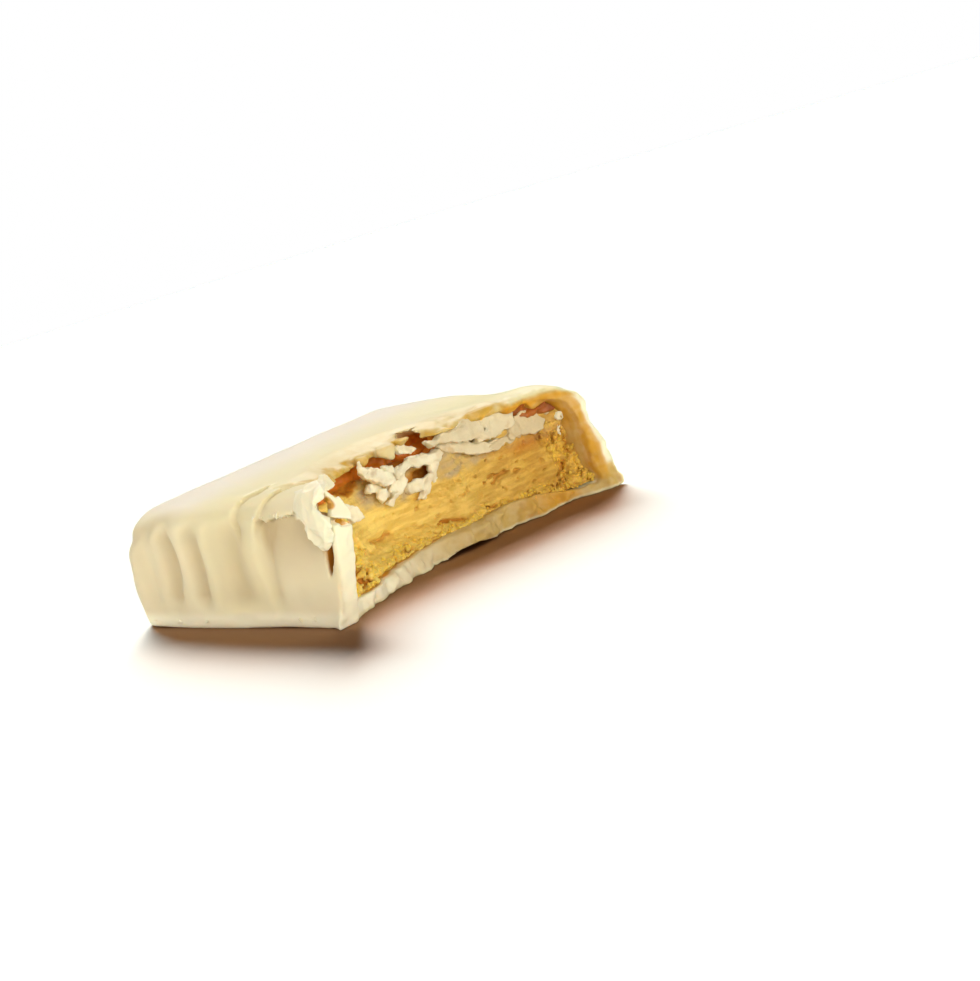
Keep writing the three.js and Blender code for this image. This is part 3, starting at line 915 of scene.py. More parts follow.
def mark(mesh, name, values):
    """Keeps one number for each point of a mesh, for its material or its crumbs."""
    if name in mesh.attributes:
        mesh.attributes.remove(mesh.attributes[name])
    flat = np.broadcast_to(values, len(mesh.vertices)).astype(np.float32)
    mesh.attributes.new(name, "FLOAT", "POINT").data.foreach_set("value", flat)


def settled(points, distance):
    """Moves points onto the exact surface, so that plain faces show no steps of the grid."""
    for _ in range(2):
        x, y, z = points.T.astype(np.float32)
        here = distance(x, y, z)
        slope = np.stack([
            distance(x + NUDGE, y, z) - here,
            distance(x, y + NUDGE, z) - here,
            distance(x, y, z + NUDGE) - here,
        ], 1) / NUDGE
        steep = np.maximum((slope**2).sum(1), 0.2)
        points = points - slope * np.clip(here / steep, -FARTHEST_MOVE, FARTHEST_MOVE)[:, None]
    return points


def sculpted(name, distance, grid, most_triangles, speck=0.02, kept=None):
    """A piece made from a distance function on a grid, thinned where it isn't kept fine."""
    axes = [steps(runs) for runs in grid]
    x, y, z = np.meshgrid(*[a.astype(np.float32) for a in axes], indexing="ij", sparse=True)
    field = np.broadcast_to(distance(x, y, z), [len(a) for a in axes]).astype(np.float32)
    points, quads = surface_net(field, axes)
    points, quads = largest_parts(points, quads, speck)
    points = settled(relaxed(points, quads), distance)
    piece = link(name, mesh_of(name, points, quads))
    triangles = 2 * len(quads)
    if triangles > most_triangles:
        thin = piece.modifiers.new("thin", "DECIMATE")
        thin.ratio = most_triangles / triangles
        if kept:
            group = piece.vertex_groups.new(name="kept")
            group.add(np.flatnonzero(kept(*points.T)).tolist(), 1.0, "REPLACE")
            thin.vertex_group = "kept"
            thin.invert_vertex_group = True
    return made_plain(piece)


# ---- Node trees -----------------------------------------------------------------------------

class Value:
    """One socket of a node tree, so that patterns are added and multiplied like numbers."""

    def __init__(self, nodes, socket):
        self.nodes = nodes
        self.socket = socket

    def maths(self, operation, first, second):
        return self.nodes.value("ShaderNodeMath", dict(operation=operation), {0: first, 1: second})

    def __add__(self, other):
        return self.maths("ADD", self, other)

    def __radd__(self, other):
        return self.maths("ADD", other, self)

    def __sub__(self, other):
        return self.maths("SUBTRACT", self, other)

    def __mul__(self, other):
        return self.maths("MULTIPLY", self, other)

    def __rmul__(self, other):
        return self.maths("MULTIPLY", other, self)

    def __pow__(self, other):
        return self.maths("POWER", self, other)

    def between(self, low, high):
        """0 below the low value, 1 above the high one, and a soft rise from one to the other."""
        settings = dict(interpolation_type="SMOOTHSTEP")
        inputs = {"Value": self, "From Min": low, "From Max": high}
        return self.nodes.value("ShaderNodeMapRange", settings, inputs)


class Nodes:
    """Adds nodes to one tree: a type, its settings, and the values or links of its sockets."""

    def __init__(self, tree):
        self.tree = tree

    def add(self, kind, settings=None, inputs=None):
        node = self.tree.nodes.new(kind)
        for name, setting in (settings or {}).items():
            setattr(node, name, setting)
        for key, value in (inputs or {}).items():
            if isinstance(value, Value):
                self.tree.links.new(value.socket, node.inputs[key])
            else:
                node.inputs[key].default_value = value
        return node

    def value(self, kind, settings=None, inputs=None, output=0):
        return Value(self, self.add(kind, settings, inputs).outputs[output])


class Finish(Nodes):
    """A procedural material."""

    def __init__(self, name):
        self.material = bpy.data.materials.new(name)
        self.material.use_nodes = True
        super().__init__(self.material.node_tree)
        self.tree.nodes.clear()
        self.place = self.value("ShaderNodeTexCoord", output="Object")

    def grain(self, size, detail=2.0, seed=0.0, stretch=None):
        """Noise from 0 to 1 with bumps this many millimetres apart, drawn out by stretch."""
        place = self.place
        if stretch:
            inverse = tuple(1 / s for s in stretch)
            place = self.value("ShaderNodeVectorMath", dict(operation="MULTIPLY"), {0: place, 1: inverse})
        inputs = {"Vector": place, "W": seed, "Scale": 1 / (size * MM), "Detail": detail}
        return self.value("ShaderNodeTexNoise", dict(noise_dimensions="4D"), inputs)

    def marked(self, name):
        return self.value("ShaderNodeAttribute", dict(attribute_name=name), output="Fac")

    def mix(self, share, first, second, blend="MIX"):
        """A colour between two, as node sockets or as red, green and blue."""
        inputs = {0: share}
        for key, colour in ((6, first), (7, second)):
            inputs[key] = colour if isinstance(colour, Value) else (*colour, 1.0)
        return self.value("ShaderNodeMix", dict(data_type="RGBA", blend_type=blend), inputs, output=2)

    def bump(self, height, depth, under=None):
        """Relief this many millimetres deep where the height goes from 0 to 1."""
        inputs = {"Height": height, "Distance": depth * MM, "Strength": 1.0}
        if under:
            inputs["Normal"] = under
        return self.value("ShaderNodeBump", None, inputs)

    def surface(self, linked, constants):
        shader = self.value("ShaderNodeBsdfPrincipled", None, {**constants, **linked})
        self.add("ShaderNodeOutputMaterial", None, {"Surface": shader})
        return self.material


def soaked_light(weight, spread, depth, shine):
    """How light soaks in: how much, how far in red, green and blue, and how brightly it shines."""
    return {
        "Subsurface Weight": weight,
        "Subsurface Radius": spread,
        "Subsurface Scale": depth * MM,
        "Specular IOR Level": shine,
    }


def coating_finish(name, colours):
    """Set white coating: cream and satin, warmer where it is thin, golden where it is stained, with painted
    shade in its dips and slits and painted light on the near wall's foot.
    """
    finish = Finish(name)
    cloud = finish.grain(6.0, 3.0, 1.0).between(0.3, 0.7)
    speckle = finish.grain(0.7, 3.0, 2.0)
    mottle = finish.grain(1.3, 3.0, 3.0).between(0.3, 0.65)
    # Paler towards the closed end, and painted light along the near wall's foot.
    pale = finish.mix(finish.marked("pale"), colours.coating, colours.coating_pale_and_painted_light)
    warm = finish.mix(finish.marked("warm") * (0.7 + 0.3 * cloud), pale, colours.coating_warm)
    # Painted shade in the near wall's dips, below its crack and at its closed end, with some streaks of its
    # own tone.
    shade = finish.mix(finish.marked("shade") * (0.75 + 0.25 * cloud), warm, colours.coating_painted_shade)
    # Fresh breaks, and painted light along the near wall's foot.
    broken = finish.mix(finish.marked("cut"), shade, colours.broken)
    soaked = finish.mix(finish.marked("ledge") * (0.75 + 0.25 * mottle), broken, colours.ledge)
    thin = finish.mix(finish.marked("thin") * (0.6 + 0.4 * mottle), soaked, colours.thin_coating)
    stained = finish.mix(finish.marked("stain") * (0.8 + 0.2 * mottle), thin, colours.stain)
    # Painted shade: the split's walls and the place behind the corner's hole in a dark filling colour.
    dark = finish.mix(finish.marked("slit"), stained, colours.slit)
    relief = finish.bump(finish.grain(2.2, 2.0, 4.0), 0.10)
    relief = finish.bump(speckle, 0.035, relief)
    linked = {
        "Base Color": dark,
        "Roughness": 0.42 + 0.16 * finish.grain(3.0, 2.0, 5.0),
        "Normal": relief,
    }
    return finish.surface(linked, soaked_light(0.4, (1.0, 0.75, 0.42), 0.8, 0.12))


def broken_finish(name, colours):
    """Broken coating: whiter and matt, with a fine chalky grain, duller patches, dirty patches, and painted
    shade on the pieces further back.
    """
    finish = Finish(name)
    patches = finish.grain(1.6, 4.0, 11.0).between(0.42, 0.68)
    # Painted shade: the pieces further back are darker.
    fresh = finish.mix(finish.marked("dull"), colours.broken, colours.broken_patches_and_painted_shade)
    pale = finish.mix(patches * 0.5, fresh, colours.broken_patches_and_painted_shade)
    stained = finish.mix(finish.grain(1.9, 4.0, 12.0).between(0.58, 0.72) * 0.55, pale, colours.dirt)
    relief = finish.bump(finish.grain(0.6, 5.0, 13.0), 0.14)
    linked = {"Base Color": stained, "Roughness": 0.55 + 0.2 * patches, "Normal": relief}
    return finish.surface(linked, soaked_light(0.3, (1.0, 0.75, 0.4), 0.5, 0.12))


def dough_finish(name, colours):
    """Golden dough: matt and moist, streaked by teeth, smeared with coating above, with painted shade in
    its hollows and towards the far wall, and painted highlights on its crumbly parts.
    """
    finish = Finish(name)
    streaks = finish.grain(1.1, 5.0, 21.0, stretch=(1.0, 3.2, 0.55)).between(0.4, 0.62)
    grain = finish.grain(0.45, 3.0, 22.0)
    # Painted shade: the dough and its darker streaks darken towards the far wall.
    light = finish.mix(finish.marked("far"), colours.dough, colours.dough_far_painted_shade)
    dull = finish.mix(finish.marked("far"), colours.dough_shade, colours.dough_far_streaks_painted_shade)
    golden = finish.mix(streaks, dull, light)
    # Painted highlight: brighter yellow patches on the crumbly parts.
    fresh = finish.marked("crumbly") * grain.between(0.42, 0.62) * 0.8
    bright = finish.mix(fresh, golden, colours.dough_painted_highlight)
    # Painted shade in the dough's recesses, by the torn hollows and under the far plate.
    hollow = finish.mix(finish.marked("hollow"), bright, colours.dough_painted_shade)
    smear = finish.marked("smear") * (0.6 + 0.4 * finish.grain(1.2, 3.0, 23.0).between(0.3, 0.6))
    smeared = finish.mix(smear, hollow, colours.smear)
    relief = finish.bump(finish.grain(0.9, 5.0, 24.0, stretch=(1.0, 2.0, 0.7)), 0.32)
    relief = finish.bump(grain, 0.2, relief)
    linked = {"Base Color": smeared, "Roughness": 0.45 + 0.25 * grain, "Normal": relief}
    return finish.surface(linked, soaked_light(0.35, (1.0, 0.5, 0.18), 0.6, 0.2))


def caramel_finish(name, colours):
    """Glossy brown caramel, orange with painted light by the bite's opening, darker with painted shade
    towards the far wall.
    """
    finish = Finish(name)
    patches = finish.grain(1.4, 3.0, 31.0).between(0.35, 0.7)
    # Painted light by the opening, and painted shade towards the far wall.
    brown = finish.mix(finish.marked("lit") * (0.5 + 0.5 * patches), colours.caramel, colours.caramel_painted_light)
    brown = finish.mix(finish.marked("deep") * (0.7 + 0.3 * patches), brown, colours.caramel_painted_shade)
    relief = finish.bump(finish.grain(0.8, 3.0, 32.0), 0.12)
    linked = {"Base Color": brown, "Roughness": 0.35 + 0.2 * patches, "Normal": relief}
    return finish.surface(linked, soaked_light(0.4, (1.0, 0.35, 0.1), 0.7, 0.22))


# ---- Crumbs, scattered by geometry nodes ------------------------------------------------------

def crumb_scale(nodes, given, flat):
    """Each crumb's size, which is mostly small, times its own shape."""
    size = nodes.value("FunctionNodeRandomValue", dict(data_type="FLOAT"), {
        2: 0.0, 3: 1.0, "Seed": given["Seed"] + 2,
    }, output=1)
    size = given["Smallest"] + (given["Largest"] - given["Smallest"]) * size**3.0
    squash = nodes.value("FunctionNodeRandomValue", dict(data_type="FLOAT_VECTOR"), {
        "Min": (0.7, 0.6, 0.15 if flat else 0.4), "Max": (1.3, 1.0, 0.3 if flat else 0.8),
        "Seed": given["Seed"] + 3,
    })
    return nodes.value("ShaderNodeVectorMath", dict(operation="SCALE"), {0: squash, "Scale": size})


def crumb_tree(name, material, flat):
    """A node tree that scatters uneven crumbs where the surface under them is marked."""
    tree = bpy.data.node_groups.new(name, "GeometryNodeTree")
    tree.is_modifier = True
    face = tree.interface
    face.new_socket("Surface", in_out="INPUT", socket_type="NodeSocketGeometry")
    for label in ("Density", "Smallest", "Largest", "Unevenness"):
        face.new_socket(label, in_out="INPUT", socket_type="NodeSocketFloat")
    face.new_socket("Seed", in_out="INPUT", socket_type="NodeSocketInt")
    face.new_socket("Crumbs", in_out="OUTPUT", socket_type="NodeSocketGeometry")
    nodes = Nodes(tree)
    inputs = nodes.add("NodeGroupInput")
    given = {s.name: Value(nodes, s) for s in inputs.outputs if s.name}
    share = nodes.value("GeometryNodeInputNamedAttribute", dict(data_type="FLOAT"), {"Name": "crumbs"})
    scattered = nodes.add("GeometryNodeDistributePointsOnFaces", None, {
        "Mesh": given["Surface"], "Density": given["Density"] * share, "Seed": given["Seed"],
    })
    grain = nodes.value("GeometryNodeMeshUVSphere", None, {"Radius": 1.0, "Segments": 6, "Rings": 4})
    turn = nodes.value("FunctionNodeRandomValue", dict(data_type="FLOAT_VECTOR"), {
        "Min": (0.0, 0.0, 0.0), "Max": (math.tau, math.tau, math.tau), "Seed": given["Seed"] + 1,
    })
    scale = crumb_scale(nodes, given, flat)
    placed = nodes.value("GeometryNodeInstanceOnPoints", None, {
        "Points": Value(nodes, scattered.outputs["Points"]),
        "Instance": grain,
        "Rotation": turn,
        "Scale": scale,
    })
    real = nodes.value("GeometryNodeRealizeInstances", None, {"Geometry": placed})
    place = nodes.value("GeometryNodeInputPosition")
    wobble = nodes.value("ShaderNodeTexNoise", None, {
        "Vector": place, "Scale": 1 / (0.35 * MM), "Detail": 2.0,
    }, output="Color")
    middle = {0: wobble, 1: (0.5, 0.5, 0.5)}
    wobble = nodes.value("ShaderNodeVectorMath", dict(operation="SUBTRACT"), middle)
    reach = {0: wobble, "Scale": given["Unevenness"]}
    wobble = nodes.value("ShaderNodeVectorMath", dict(operation="SCALE"), reach)
    uneven = nodes.value("GeometryNodeSetPosition", None, {"Geometry": real, "Offset": wobble})
    finished = nodes.value("GeometryNodeSetMaterial", None, {"Geometry": uneven, "Material": material})
    nodes.add("NodeGroupOutput", None, {"Crumbs": finished})
    return tree


def scatter(name, surface, tree, settings):
    """One piece of crumbs on another piece's surface."""
    piece = link(name, surface.data)
    modifier = piece.modifiers.new("crumbs", "NODES")
    modifier.node_group = tree
    for socket in tree.interface.items_tree:
        if socket.in_out == "INPUT" and socket.name in settings:
            modifier[socket.identifier] = settings[socket.name]
    made_plain(piece)
    piece.data.shade_flat()
    if len(piece.data.vertices) == 0:
        raise RuntimeError(f"{name} has no crumbs: the surface isn't marked")
    return piece


# ---- Sizes and colours in the panel -----------------------------------------------------------

def size_property(name, description, millimetres):
    return bpy.props.FloatProperty(
        name=name, description=description, default=millimetres * MM, min=0.0, precision=5, unit="LENGTH"
    )


def colour_property(name, description, colour):
    return bpy.props.FloatVectorProperty(
        name=name, description=description, default=colour, size=3, min=0.0, max=1.0, subtype="COLOR"
    )


class BarSizes(bpy.types.PropertyGroup):
    """The bar's driving sizes."""

    width: size_property("Width", "Across the bar, from wall to wall", 1000 * (CAD_BOX[1].y - CAD_BOX[0].y))
    height: size_property("Height", "From the base to the top's edge, at the bite", 14.1)
    end_height: size_property("End height", "From the base to the top's edge, at the closed end", 13.25)
    length: size_property("Length", "From the bite's near corner to the closed end", 35.3)
    wall: size_property("Wall", "Thickness of the coating's walls", 2.3)
    top: size_property("Top", "Thickness of the coating's top", 1.6)
    base: size_property("Base", "Thickness of the coating's base", 1.9)
    groove_depth: size_property("Groove depth", "Depth of a full groove in the walls", 0.7)
    caramel_floor: size_property("Caramel floor", "Where the dough ends and the caramel starts", 10.6)
    crumb: size_property("Dough crumb", "Radius of the largest crumb of dough", 0.34)
    chip: size_property("Coating chip", "Radius of the largest chip of coating", 0.6)


class BarColours(bpy.types.PropertyGroup):
    """The bar's colours."""

    coating: colour_property("Coating", "The set coating", (0.81, 0.72, 0.395))
    ledge: colour_property("Ledge", "The broken edge of the base", (0.60, 0.41, 0.115))
    # Pale coating: paler towards the closed end, most on the top, and painted light along the near wall's
    # foot.
    coating_pale_and_painted_light: colour_property("Pale coating", "The coating where it is thickest", (0.85, 0.76, 0.59))
    coating_warm: colour_property("Warm coating", "The coating where it is warmer", (0.85, 0.735, 0.51))
    # Painted shade for the near wall's dips, below its crack and at its closed end; its streaks use it too.
    coating_painted_shade: colour_property("Coating in dips", "In waves and below the crack", (0.57, 0.445, 0.25))
    thin_coating: colour_property("Thin coating", "Where the caramel shows through", (0.61, 0.365, 0.055))
    # Broken coating: fresh breaks, and painted light along the near wall's foot.
    broken: colour_property("Broken coating", "A fresh break in the coating", (0.95, 0.87, 0.61))
    # Duller patches of a break, and painted shade on the pieces further back.
    broken_patches_and_painted_shade: colour_property("Broken coating, duller", "Duller patches of a break", (0.62, 0.49, 0.27))
    dirt: colour_property("Dirt", "Filling rubbed into broken coating", (0.52, 0.33, 0.13))
    stain: colour_property("Stain", "Coating stained by the dough", (0.66, 0.33, 0.028))
    # Slit: a dark filling colour with painted shade, for the split's walls and the corner's hole.
    slit: colour_property("Slit", "Filling seen through a split in the coating", (0.46, 0.19, 0.02))
    smear: colour_property("Smear", "Coating smeared over the dough", (0.54, 0.39, 0.19))
    dough: colour_property("Dough", "The dough", (0.97, 0.70, 0.175))
    dough_shade: colour_property("Dough, darker", "Darker streaks of the dough", (0.83, 0.56, 0.115))
    # Painted shade: the dough and its darker streaks darken towards the far wall.
    dough_far_painted_shade: colour_property("Dough, far side", "The dough towards the far wall", (0.72, 0.43, 0.07))
    dough_far_streaks_painted_shade: colour_property("Dough, far side, darker", "Its darker streaks", (0.55, 0.29, 0.04))
    # Painted highlight on the crumbly parts of the dough.
    dough_painted_highlight: colour_property("Dough, brighter", "Fresh crumbs of the dough", (1.0, 0.64, 0.07))
    # Painted shade for the dough in its pits, gaps and recesses, and under the far plate.
    dough_painted_shade: colour_property("Dough, deep", "The dough in its pits and gaps", (0.52, 0.20, 0.016))
    caramel: colour_property("Caramel", "The caramel", (0.68, 0.205, 0.016))
    # Painted shade: the caramel towards the far wall.
    caramel_painted_shade: colour_property("Deep caramel", "In the shelter of the far wall", (0.27, 0.075, 0.01))
    # Painted light: the caramel by the bite's opening, lighter and more orange.
    caramel_painted_light: colour_property("Thin caramel", "The caramel where it is thin", (0.62, 0.28, 0.02))


# ---- One operator for each piece or group ------------------------------------------------------

class PieceMaker:
    """What the operators share: the form, the colours, and how a piece joins the part.

    Each operator's own work is in its make."""

    bl_options = {"REGISTER", "UNDO"}

    def execute(self, context):
        self.sizes = context.scene.bar_sizes
        self.colours = context.scene.bar_colours
        self.form = BarForm(self.sizes)
        self.make()
        return {"FINISHED"}

    def finish_of(self, name, maker):
        return bpy.data.materials.get(name) or maker(name, self.colours)

    def join(self, piece, material, slot, *nodes):
        if material.name not in piece.data.materials:
            piece.data.materials.append(material)
        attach(piece, "root")
        if nodes:
            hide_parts(*nodes)


class BAR_OT_coating(PieceMaker, bpy.types.Operator):
    """Makes the coating, with its waves, its crack and its broken rim"""

    bl_idname = "bar.coating"
    bl_label = "Coating"

    def make(self):
        form = self.form
        most = MOST_TRIANGLES["coating"]
        piece = sculpted("coating_shell", form.coating, COATING_GRID, most, kept=self.seen)
        place = places_of(piece.data)
        x, y, z = place
        edge = form.shell_edge(y, z)
        depth = -form.body(x, y, z, sag=form.sag(x, y, z, edge))
        behind = edge - form.ragged(x, y, z) - x
        cut = smooth((1.2 - behind) / 0.6) * smooth((depth - 0.2) / 0.3)
        high = smooth((z - 10.8) / 1.2) * smooth((y + 17) / 2)
        top = smooth((z - 12) / 1.5) * smooth((0.6 - depth) / 0.3)
        ledge = cut * smooth((3.4 - z) / 0.8) * smooth((y + 18.3) / 1.0)
        darker = ledge * clamp((y + 12) / 14)
        self.mark_stains(piece.data, place, depth, behind, cut, high, top, ledge)
        mark(piece.data, "ledge", darker)
        self.mark_painted_slit_shade(piece.data, place, depth)
        self.mark_tones(piece.data, place, depth, cut, high, top, darker)
        self.mark_chips(piece.data, place, depth)
        self.join(piece, self.finish_of("set coating", coating_finish), "white_coating", "coating")

    def mark_stains(self, mesh, place, depth, behind, cut, high, top, ledge):
        """Marks where the filling has stained the coating, and where it shows through."""
        x, y, z = place
        wander = 0.5 * noise(x, y, z, 1.6, 311) + 0.25 * noise(x, y, z, 0.6, 312)
        inner = smooth((depth - 1.1 + 0.3 * wander) / 0.5) * smooth((behind - 0.4) / 0.5)
        inner = inner * (1 - 0.65 * smooth((y - 14) / 2) * smooth((9.5 - z) / 2))
        orange = high * smooth((y - 11.2 + 0.6 * wander) / 0.5) * smooth((depth - 0.75) / 0.4)
        rim = smooth((2.4 + wander - behind) / 1.0)
        far_wall = smooth((y - 13) / 3) * cut * smooth((z - 0.6) / 2.2) * smooth((depth - 0.9) / 0.5)
        golden = 0.7 * far_wall * smooth((depth - 0.8 + 0.3 * wander) / 0.8)
        far_ledge = 0.9 * ledge * smooth((y - 6) / 8) * smooth((17.5 - y) / 2)
        mark(mesh, "stain", np.maximum.reduce([inner, orange * rim, golden, far_ledge]))
        reach = 1.3 + 1.0 * smooth((-9 - y) / 2) + wander
        lump = smooth((0.35 - blob(x, y, z, *COAT_LUMPS[0])) / 0.3)
        thin = high * smooth((reach - behind) / 1.2) * (1 - 0.75 * lump)
        thin = thin * (1 - smooth((y - 11) / 2) * smooth((0.9 - depth) / 0.4))
        near_edge = 0.45 * top * smooth((5.5 - behind) / 4.5)
        near_edge = near_edge * smooth((y + 16) / 3) * smooth((13 - y) / 4)
        far_inside = 0.8 * smooth((y - 14) / 2) * smooth((depth - 1.2) / 0.4)
        far_edge = far_wall * smooth((depth - 1.2 + 0.2 * wander) / 0.6)
        mark(mesh, "thin", np.maximum.reduce([thin, near_edge, far_inside, far_edge]))

    def mark_painted_slit_shade(self, mesh, place, depth):
        """Marks a dark filling colour with painted shade on the walls of the near wall's split and behind
        the snapped corner's hole.
        """
        x, y, z = place
        slit = smooth((depth - 0.3) / 0.3) * smooth((1.9 - np.abs(z - 7.2)) / 0.3)
        slit = slit * smooth((-y - 19.2) / 0.3) * smooth((1.45 - x) / 0.15) * smooth((x + 0.3) / 0.3)
        behind_hole = smooth((0.4 - blob(x, y, z, *BEHIND_HOLE)) / 0.4)
        mark(mesh, "slit", np.maximum(slit, 0.8 * behind_hole * smooth((depth - 0.6) / 0.3)))

    def mark_tones(self, mesh, place, depth, cut, high, top, darker):
        """Marks painted shade in the dips, below the crack and at the closed end, the fresh cuts, painted
        light along the foot, and warmer or paler coating.
        """
        x, y, z = place
        form = self.form
        wall = smooth((-y - 19) / 1.2) * smooth((0.9 - depth) / 0.3)
        # Painted shade: darker in the dips of the waves and folds, and below the crack.
        dips = form.waves(x, y, z) * 0.9 + form.sunk_wall(x, y, z) * 1.5
        streaks = 0.1 * clamp(noise(x - form.half + 0.1 * z, y, 0.22 * z, 1.7, 313) + 0.3)
        streaks = streaks * smooth((z - 2) / 2) * smooth((12 - z) / 2)
        # Painted shade, darker towards the wall's closed end, with streaks of the coating's own tone.
        painted_end_shade_and_streaks = wall * (0.5 * smooth((-x - 20) / 9) + streaks)
        mark(mesh, "shade", np.maximum(dips * smooth((-y - 17) / 2), painted_end_shade_and_streaks))
        # Painted light: the foot of the near wall is made paler and whiter.
        painted_foot_light = wall * smooth((2.2 - z) / 1.2)
        # Fresh cuts in the broken colour, and the painted light on the foot as well.
        mark(mesh, "cut", np.maximum(cut * (1 - high) * (1 - 0.8 * darker), 0.9 * painted_foot_light))
        warm_wall = wall * lerp(0.1, 0.85, smooth((x + 26) / 26))
        warm = np.maximum(warm_wall, 0.4 * top * smooth((x + 20) / 12))
        mark(mesh, "warm", np.maximum(warm * (1 - painted_foot_light), darker))
        # Paler coating towards the closed end, and painted light on the foot.
        mark(mesh, "pale", np.maximum(smooth((-x - 12) / 14) * lerp(0.5, 1.0, top), painted_foot_light))

    def mark_chips(self, mesh, place, depth):
        """Marks where chips of coating lie: along the foot and by the crack."""
        x, y, z = place
        foot = smooth((1.3 - z) / 0.5) * smooth((0.6 - depth) / 0.3) * (z > 0.7)
        by_crack = smooth((0.5 - np.abs(z - 11.7)) / 0.3) * smooth((x + 9) / 0.5)
        by_crack = by_crack * smooth((-1.5 - x) / 0.5) * (y < -20)
        mark(mesh, "crumbs", clamp(0.25 * foot + by_crack))

    def seen(self, x, y, z):
        """Which points of the coating's mesh stay as fine as they are: those that can be seen."""
        return (self.form.body(x, y, z) > -1.0) | (x > self.form.shell_edge(y, z) - 5)


class BAR_OT_dough(PieceMaker, bpy.types.Operator):
    """Makes the dough, with its scrapes, pits and crumbly edges"""

    bl_idname = "bar.dough"
    bl_label = "Dough"

    def make(self):
        form = self.form
        piece = sculpted("dough_core", form.dough, DOUGH_GRID, MOST_TRIANGLES["dough"])
        x, y, z = places_of(piece.data)
        front = form.dough_front(y, z)
        sunk = front - x
        torn_open = smooth((0.5 - form.hollows(x, y, z)) / 0.4)
        # Painted shade: the dough darkens where it lies back from its face and by the torn hollows.
        hollow = np.maximum(smooth((sunk - 0.1) / 0.7) * smooth((3.5 - sunk) / 1), torn_open)
        bottom = on_line(y, SMEAR_FOOT)
        bottom = bottom + 0.7 * noise(0, y, z, 1.4, 301) + 0.4 * noise(0, y, z, 0.5, 302)
        smear = smooth((z - bottom) / 1.1) * smooth((y + 10) / 3) * (1 - 0.75 * smooth((y - 7) / 4))
        smear = smear * lerp(0.5, 1.0, smooth(0.5 + 1.2 * noise(0, y, z - 0.2 * y, (1, 1.6, 0.5), 303)))
        patch = np.exp(-(((y + 12.1) / 0.7) ** 2) - ((z - 8.6) / 1.1) ** 2)
        # Painted shadow below the far plate.
        brown = 0.95 * np.exp(-(((y - 13.8) / 3.2) ** 2) - ((z - 7.8) / 0.8) ** 2)
        hollow = np.maximum(hollow, brown)
        mark(piece.data, "smear", np.maximum(smear, 1.2 * patch) * (1 - torn_open))
        # Painted shade towards the far wall.
        mark(piece.data, "far", smooth((y + 8) / 24))
        # Fewer painted highlights on crumbly dough towards the far wall: painted shade.
        mark(piece.data, "crumbly", form.crumbly(y, z) * lerp(1.0, 0.5, smooth((y + 8) / 20)))
        mark(piece.data, "hollow", hollow)
        facing = smooth((0.8 - np.abs(sunk)) / 0.4)
        mark(piece.data, "crumbs", form.crumbly(y, z) * facing)
        self.join(piece, self.finish_of("golden dough", dough_finish), "dough", "core")


class BAR_OT_caramel(PieceMaker, bpy.types.Operator):
    """Makes the caramel, with the hollows that the bite opened"""

    bl_idname = "bar.caramel"
    bl_label = "Caramel"

    def make(self):
        form = self.form
        piece = sculpted("caramel_layer", form.caramel, CARAMEL_GRID, MOST_TRIANGLES["caramel"])
        x, y, z = places_of(piece.data)
        # Painted light on the caramel by the bite's opening.
        painted_light_by_opening = smooth((z - 11.6) / 1.2) * smooth((x - form.tooth_edge(y, z) + 4.5) / 2)
        mark(piece.data, "lit", 0.9 * painted_light_by_opening)
        # Painted shade on the caramel towards the far wall.
        mark(piece.data, "deep", smooth((y - 8) / 2))
        self.join(piece, self.finish_of("glossy caramel", caramel_finish), "caramel", "caramel")


class BAR_OT_shards(PieceMaker, bpy.types.Operator):
    """Makes the pieces of broken coating that are pressed into the bite"""

    bl_idname = "bar.shards"
    bl_label = "Shards"

    def make(self):
        form = self.form
        # Each group's name, pieces and seed, its node, how much painted shade it gets and how soft its
        # edges are.
        groups = (
            ("shard_plates_long", LONG_SHARDS, 101, "shard_long", 0.6, 0.12),
            ("shard_plates_far", FAR_SHARDS, 121, "shard_far", 0.9, 0.16),
            ("shard_arch_and_legs", ARCH_SHARDS, 141, "shard_arch", 0.15, 0.3),
            ("shard_plates_near", NEAR_SHARDS, 161, "shard_near", 0.0, 0.08),
        )
        material = self.finish_of("fresh break", broken_finish)
        for name, group, seed, node, dull, soft in groups:
            outlines = np.concatenate([shard["outline"] for shard in group])
            lowest = outlines.min(0) - SHARD_ROOM["around"]
            highest = outlines.max(0) + SHARD_ROOM["around"]
            places = [shard["at"] for shard in group]
            along = (min(places) - SHARD_ROOM["along"], max(places) + SHARD_ROOM["along"])
            across, up = zip(lowest, highest)
            grid = [((*ends, SHARD_GAP),) for ends in (along, across, up)]

            def distance(x, y, z):
                return form.shards(x, y, z, group, seed, 0.2, soft)

            piece = sculpted(name, distance, grid, MOST_TRIANGLES["shards"], 0.01)
            # Painted shade for the pieces further back.
            mark(piece.data, "dull", dull)
            self.join(piece, material, "broken_coating", node)


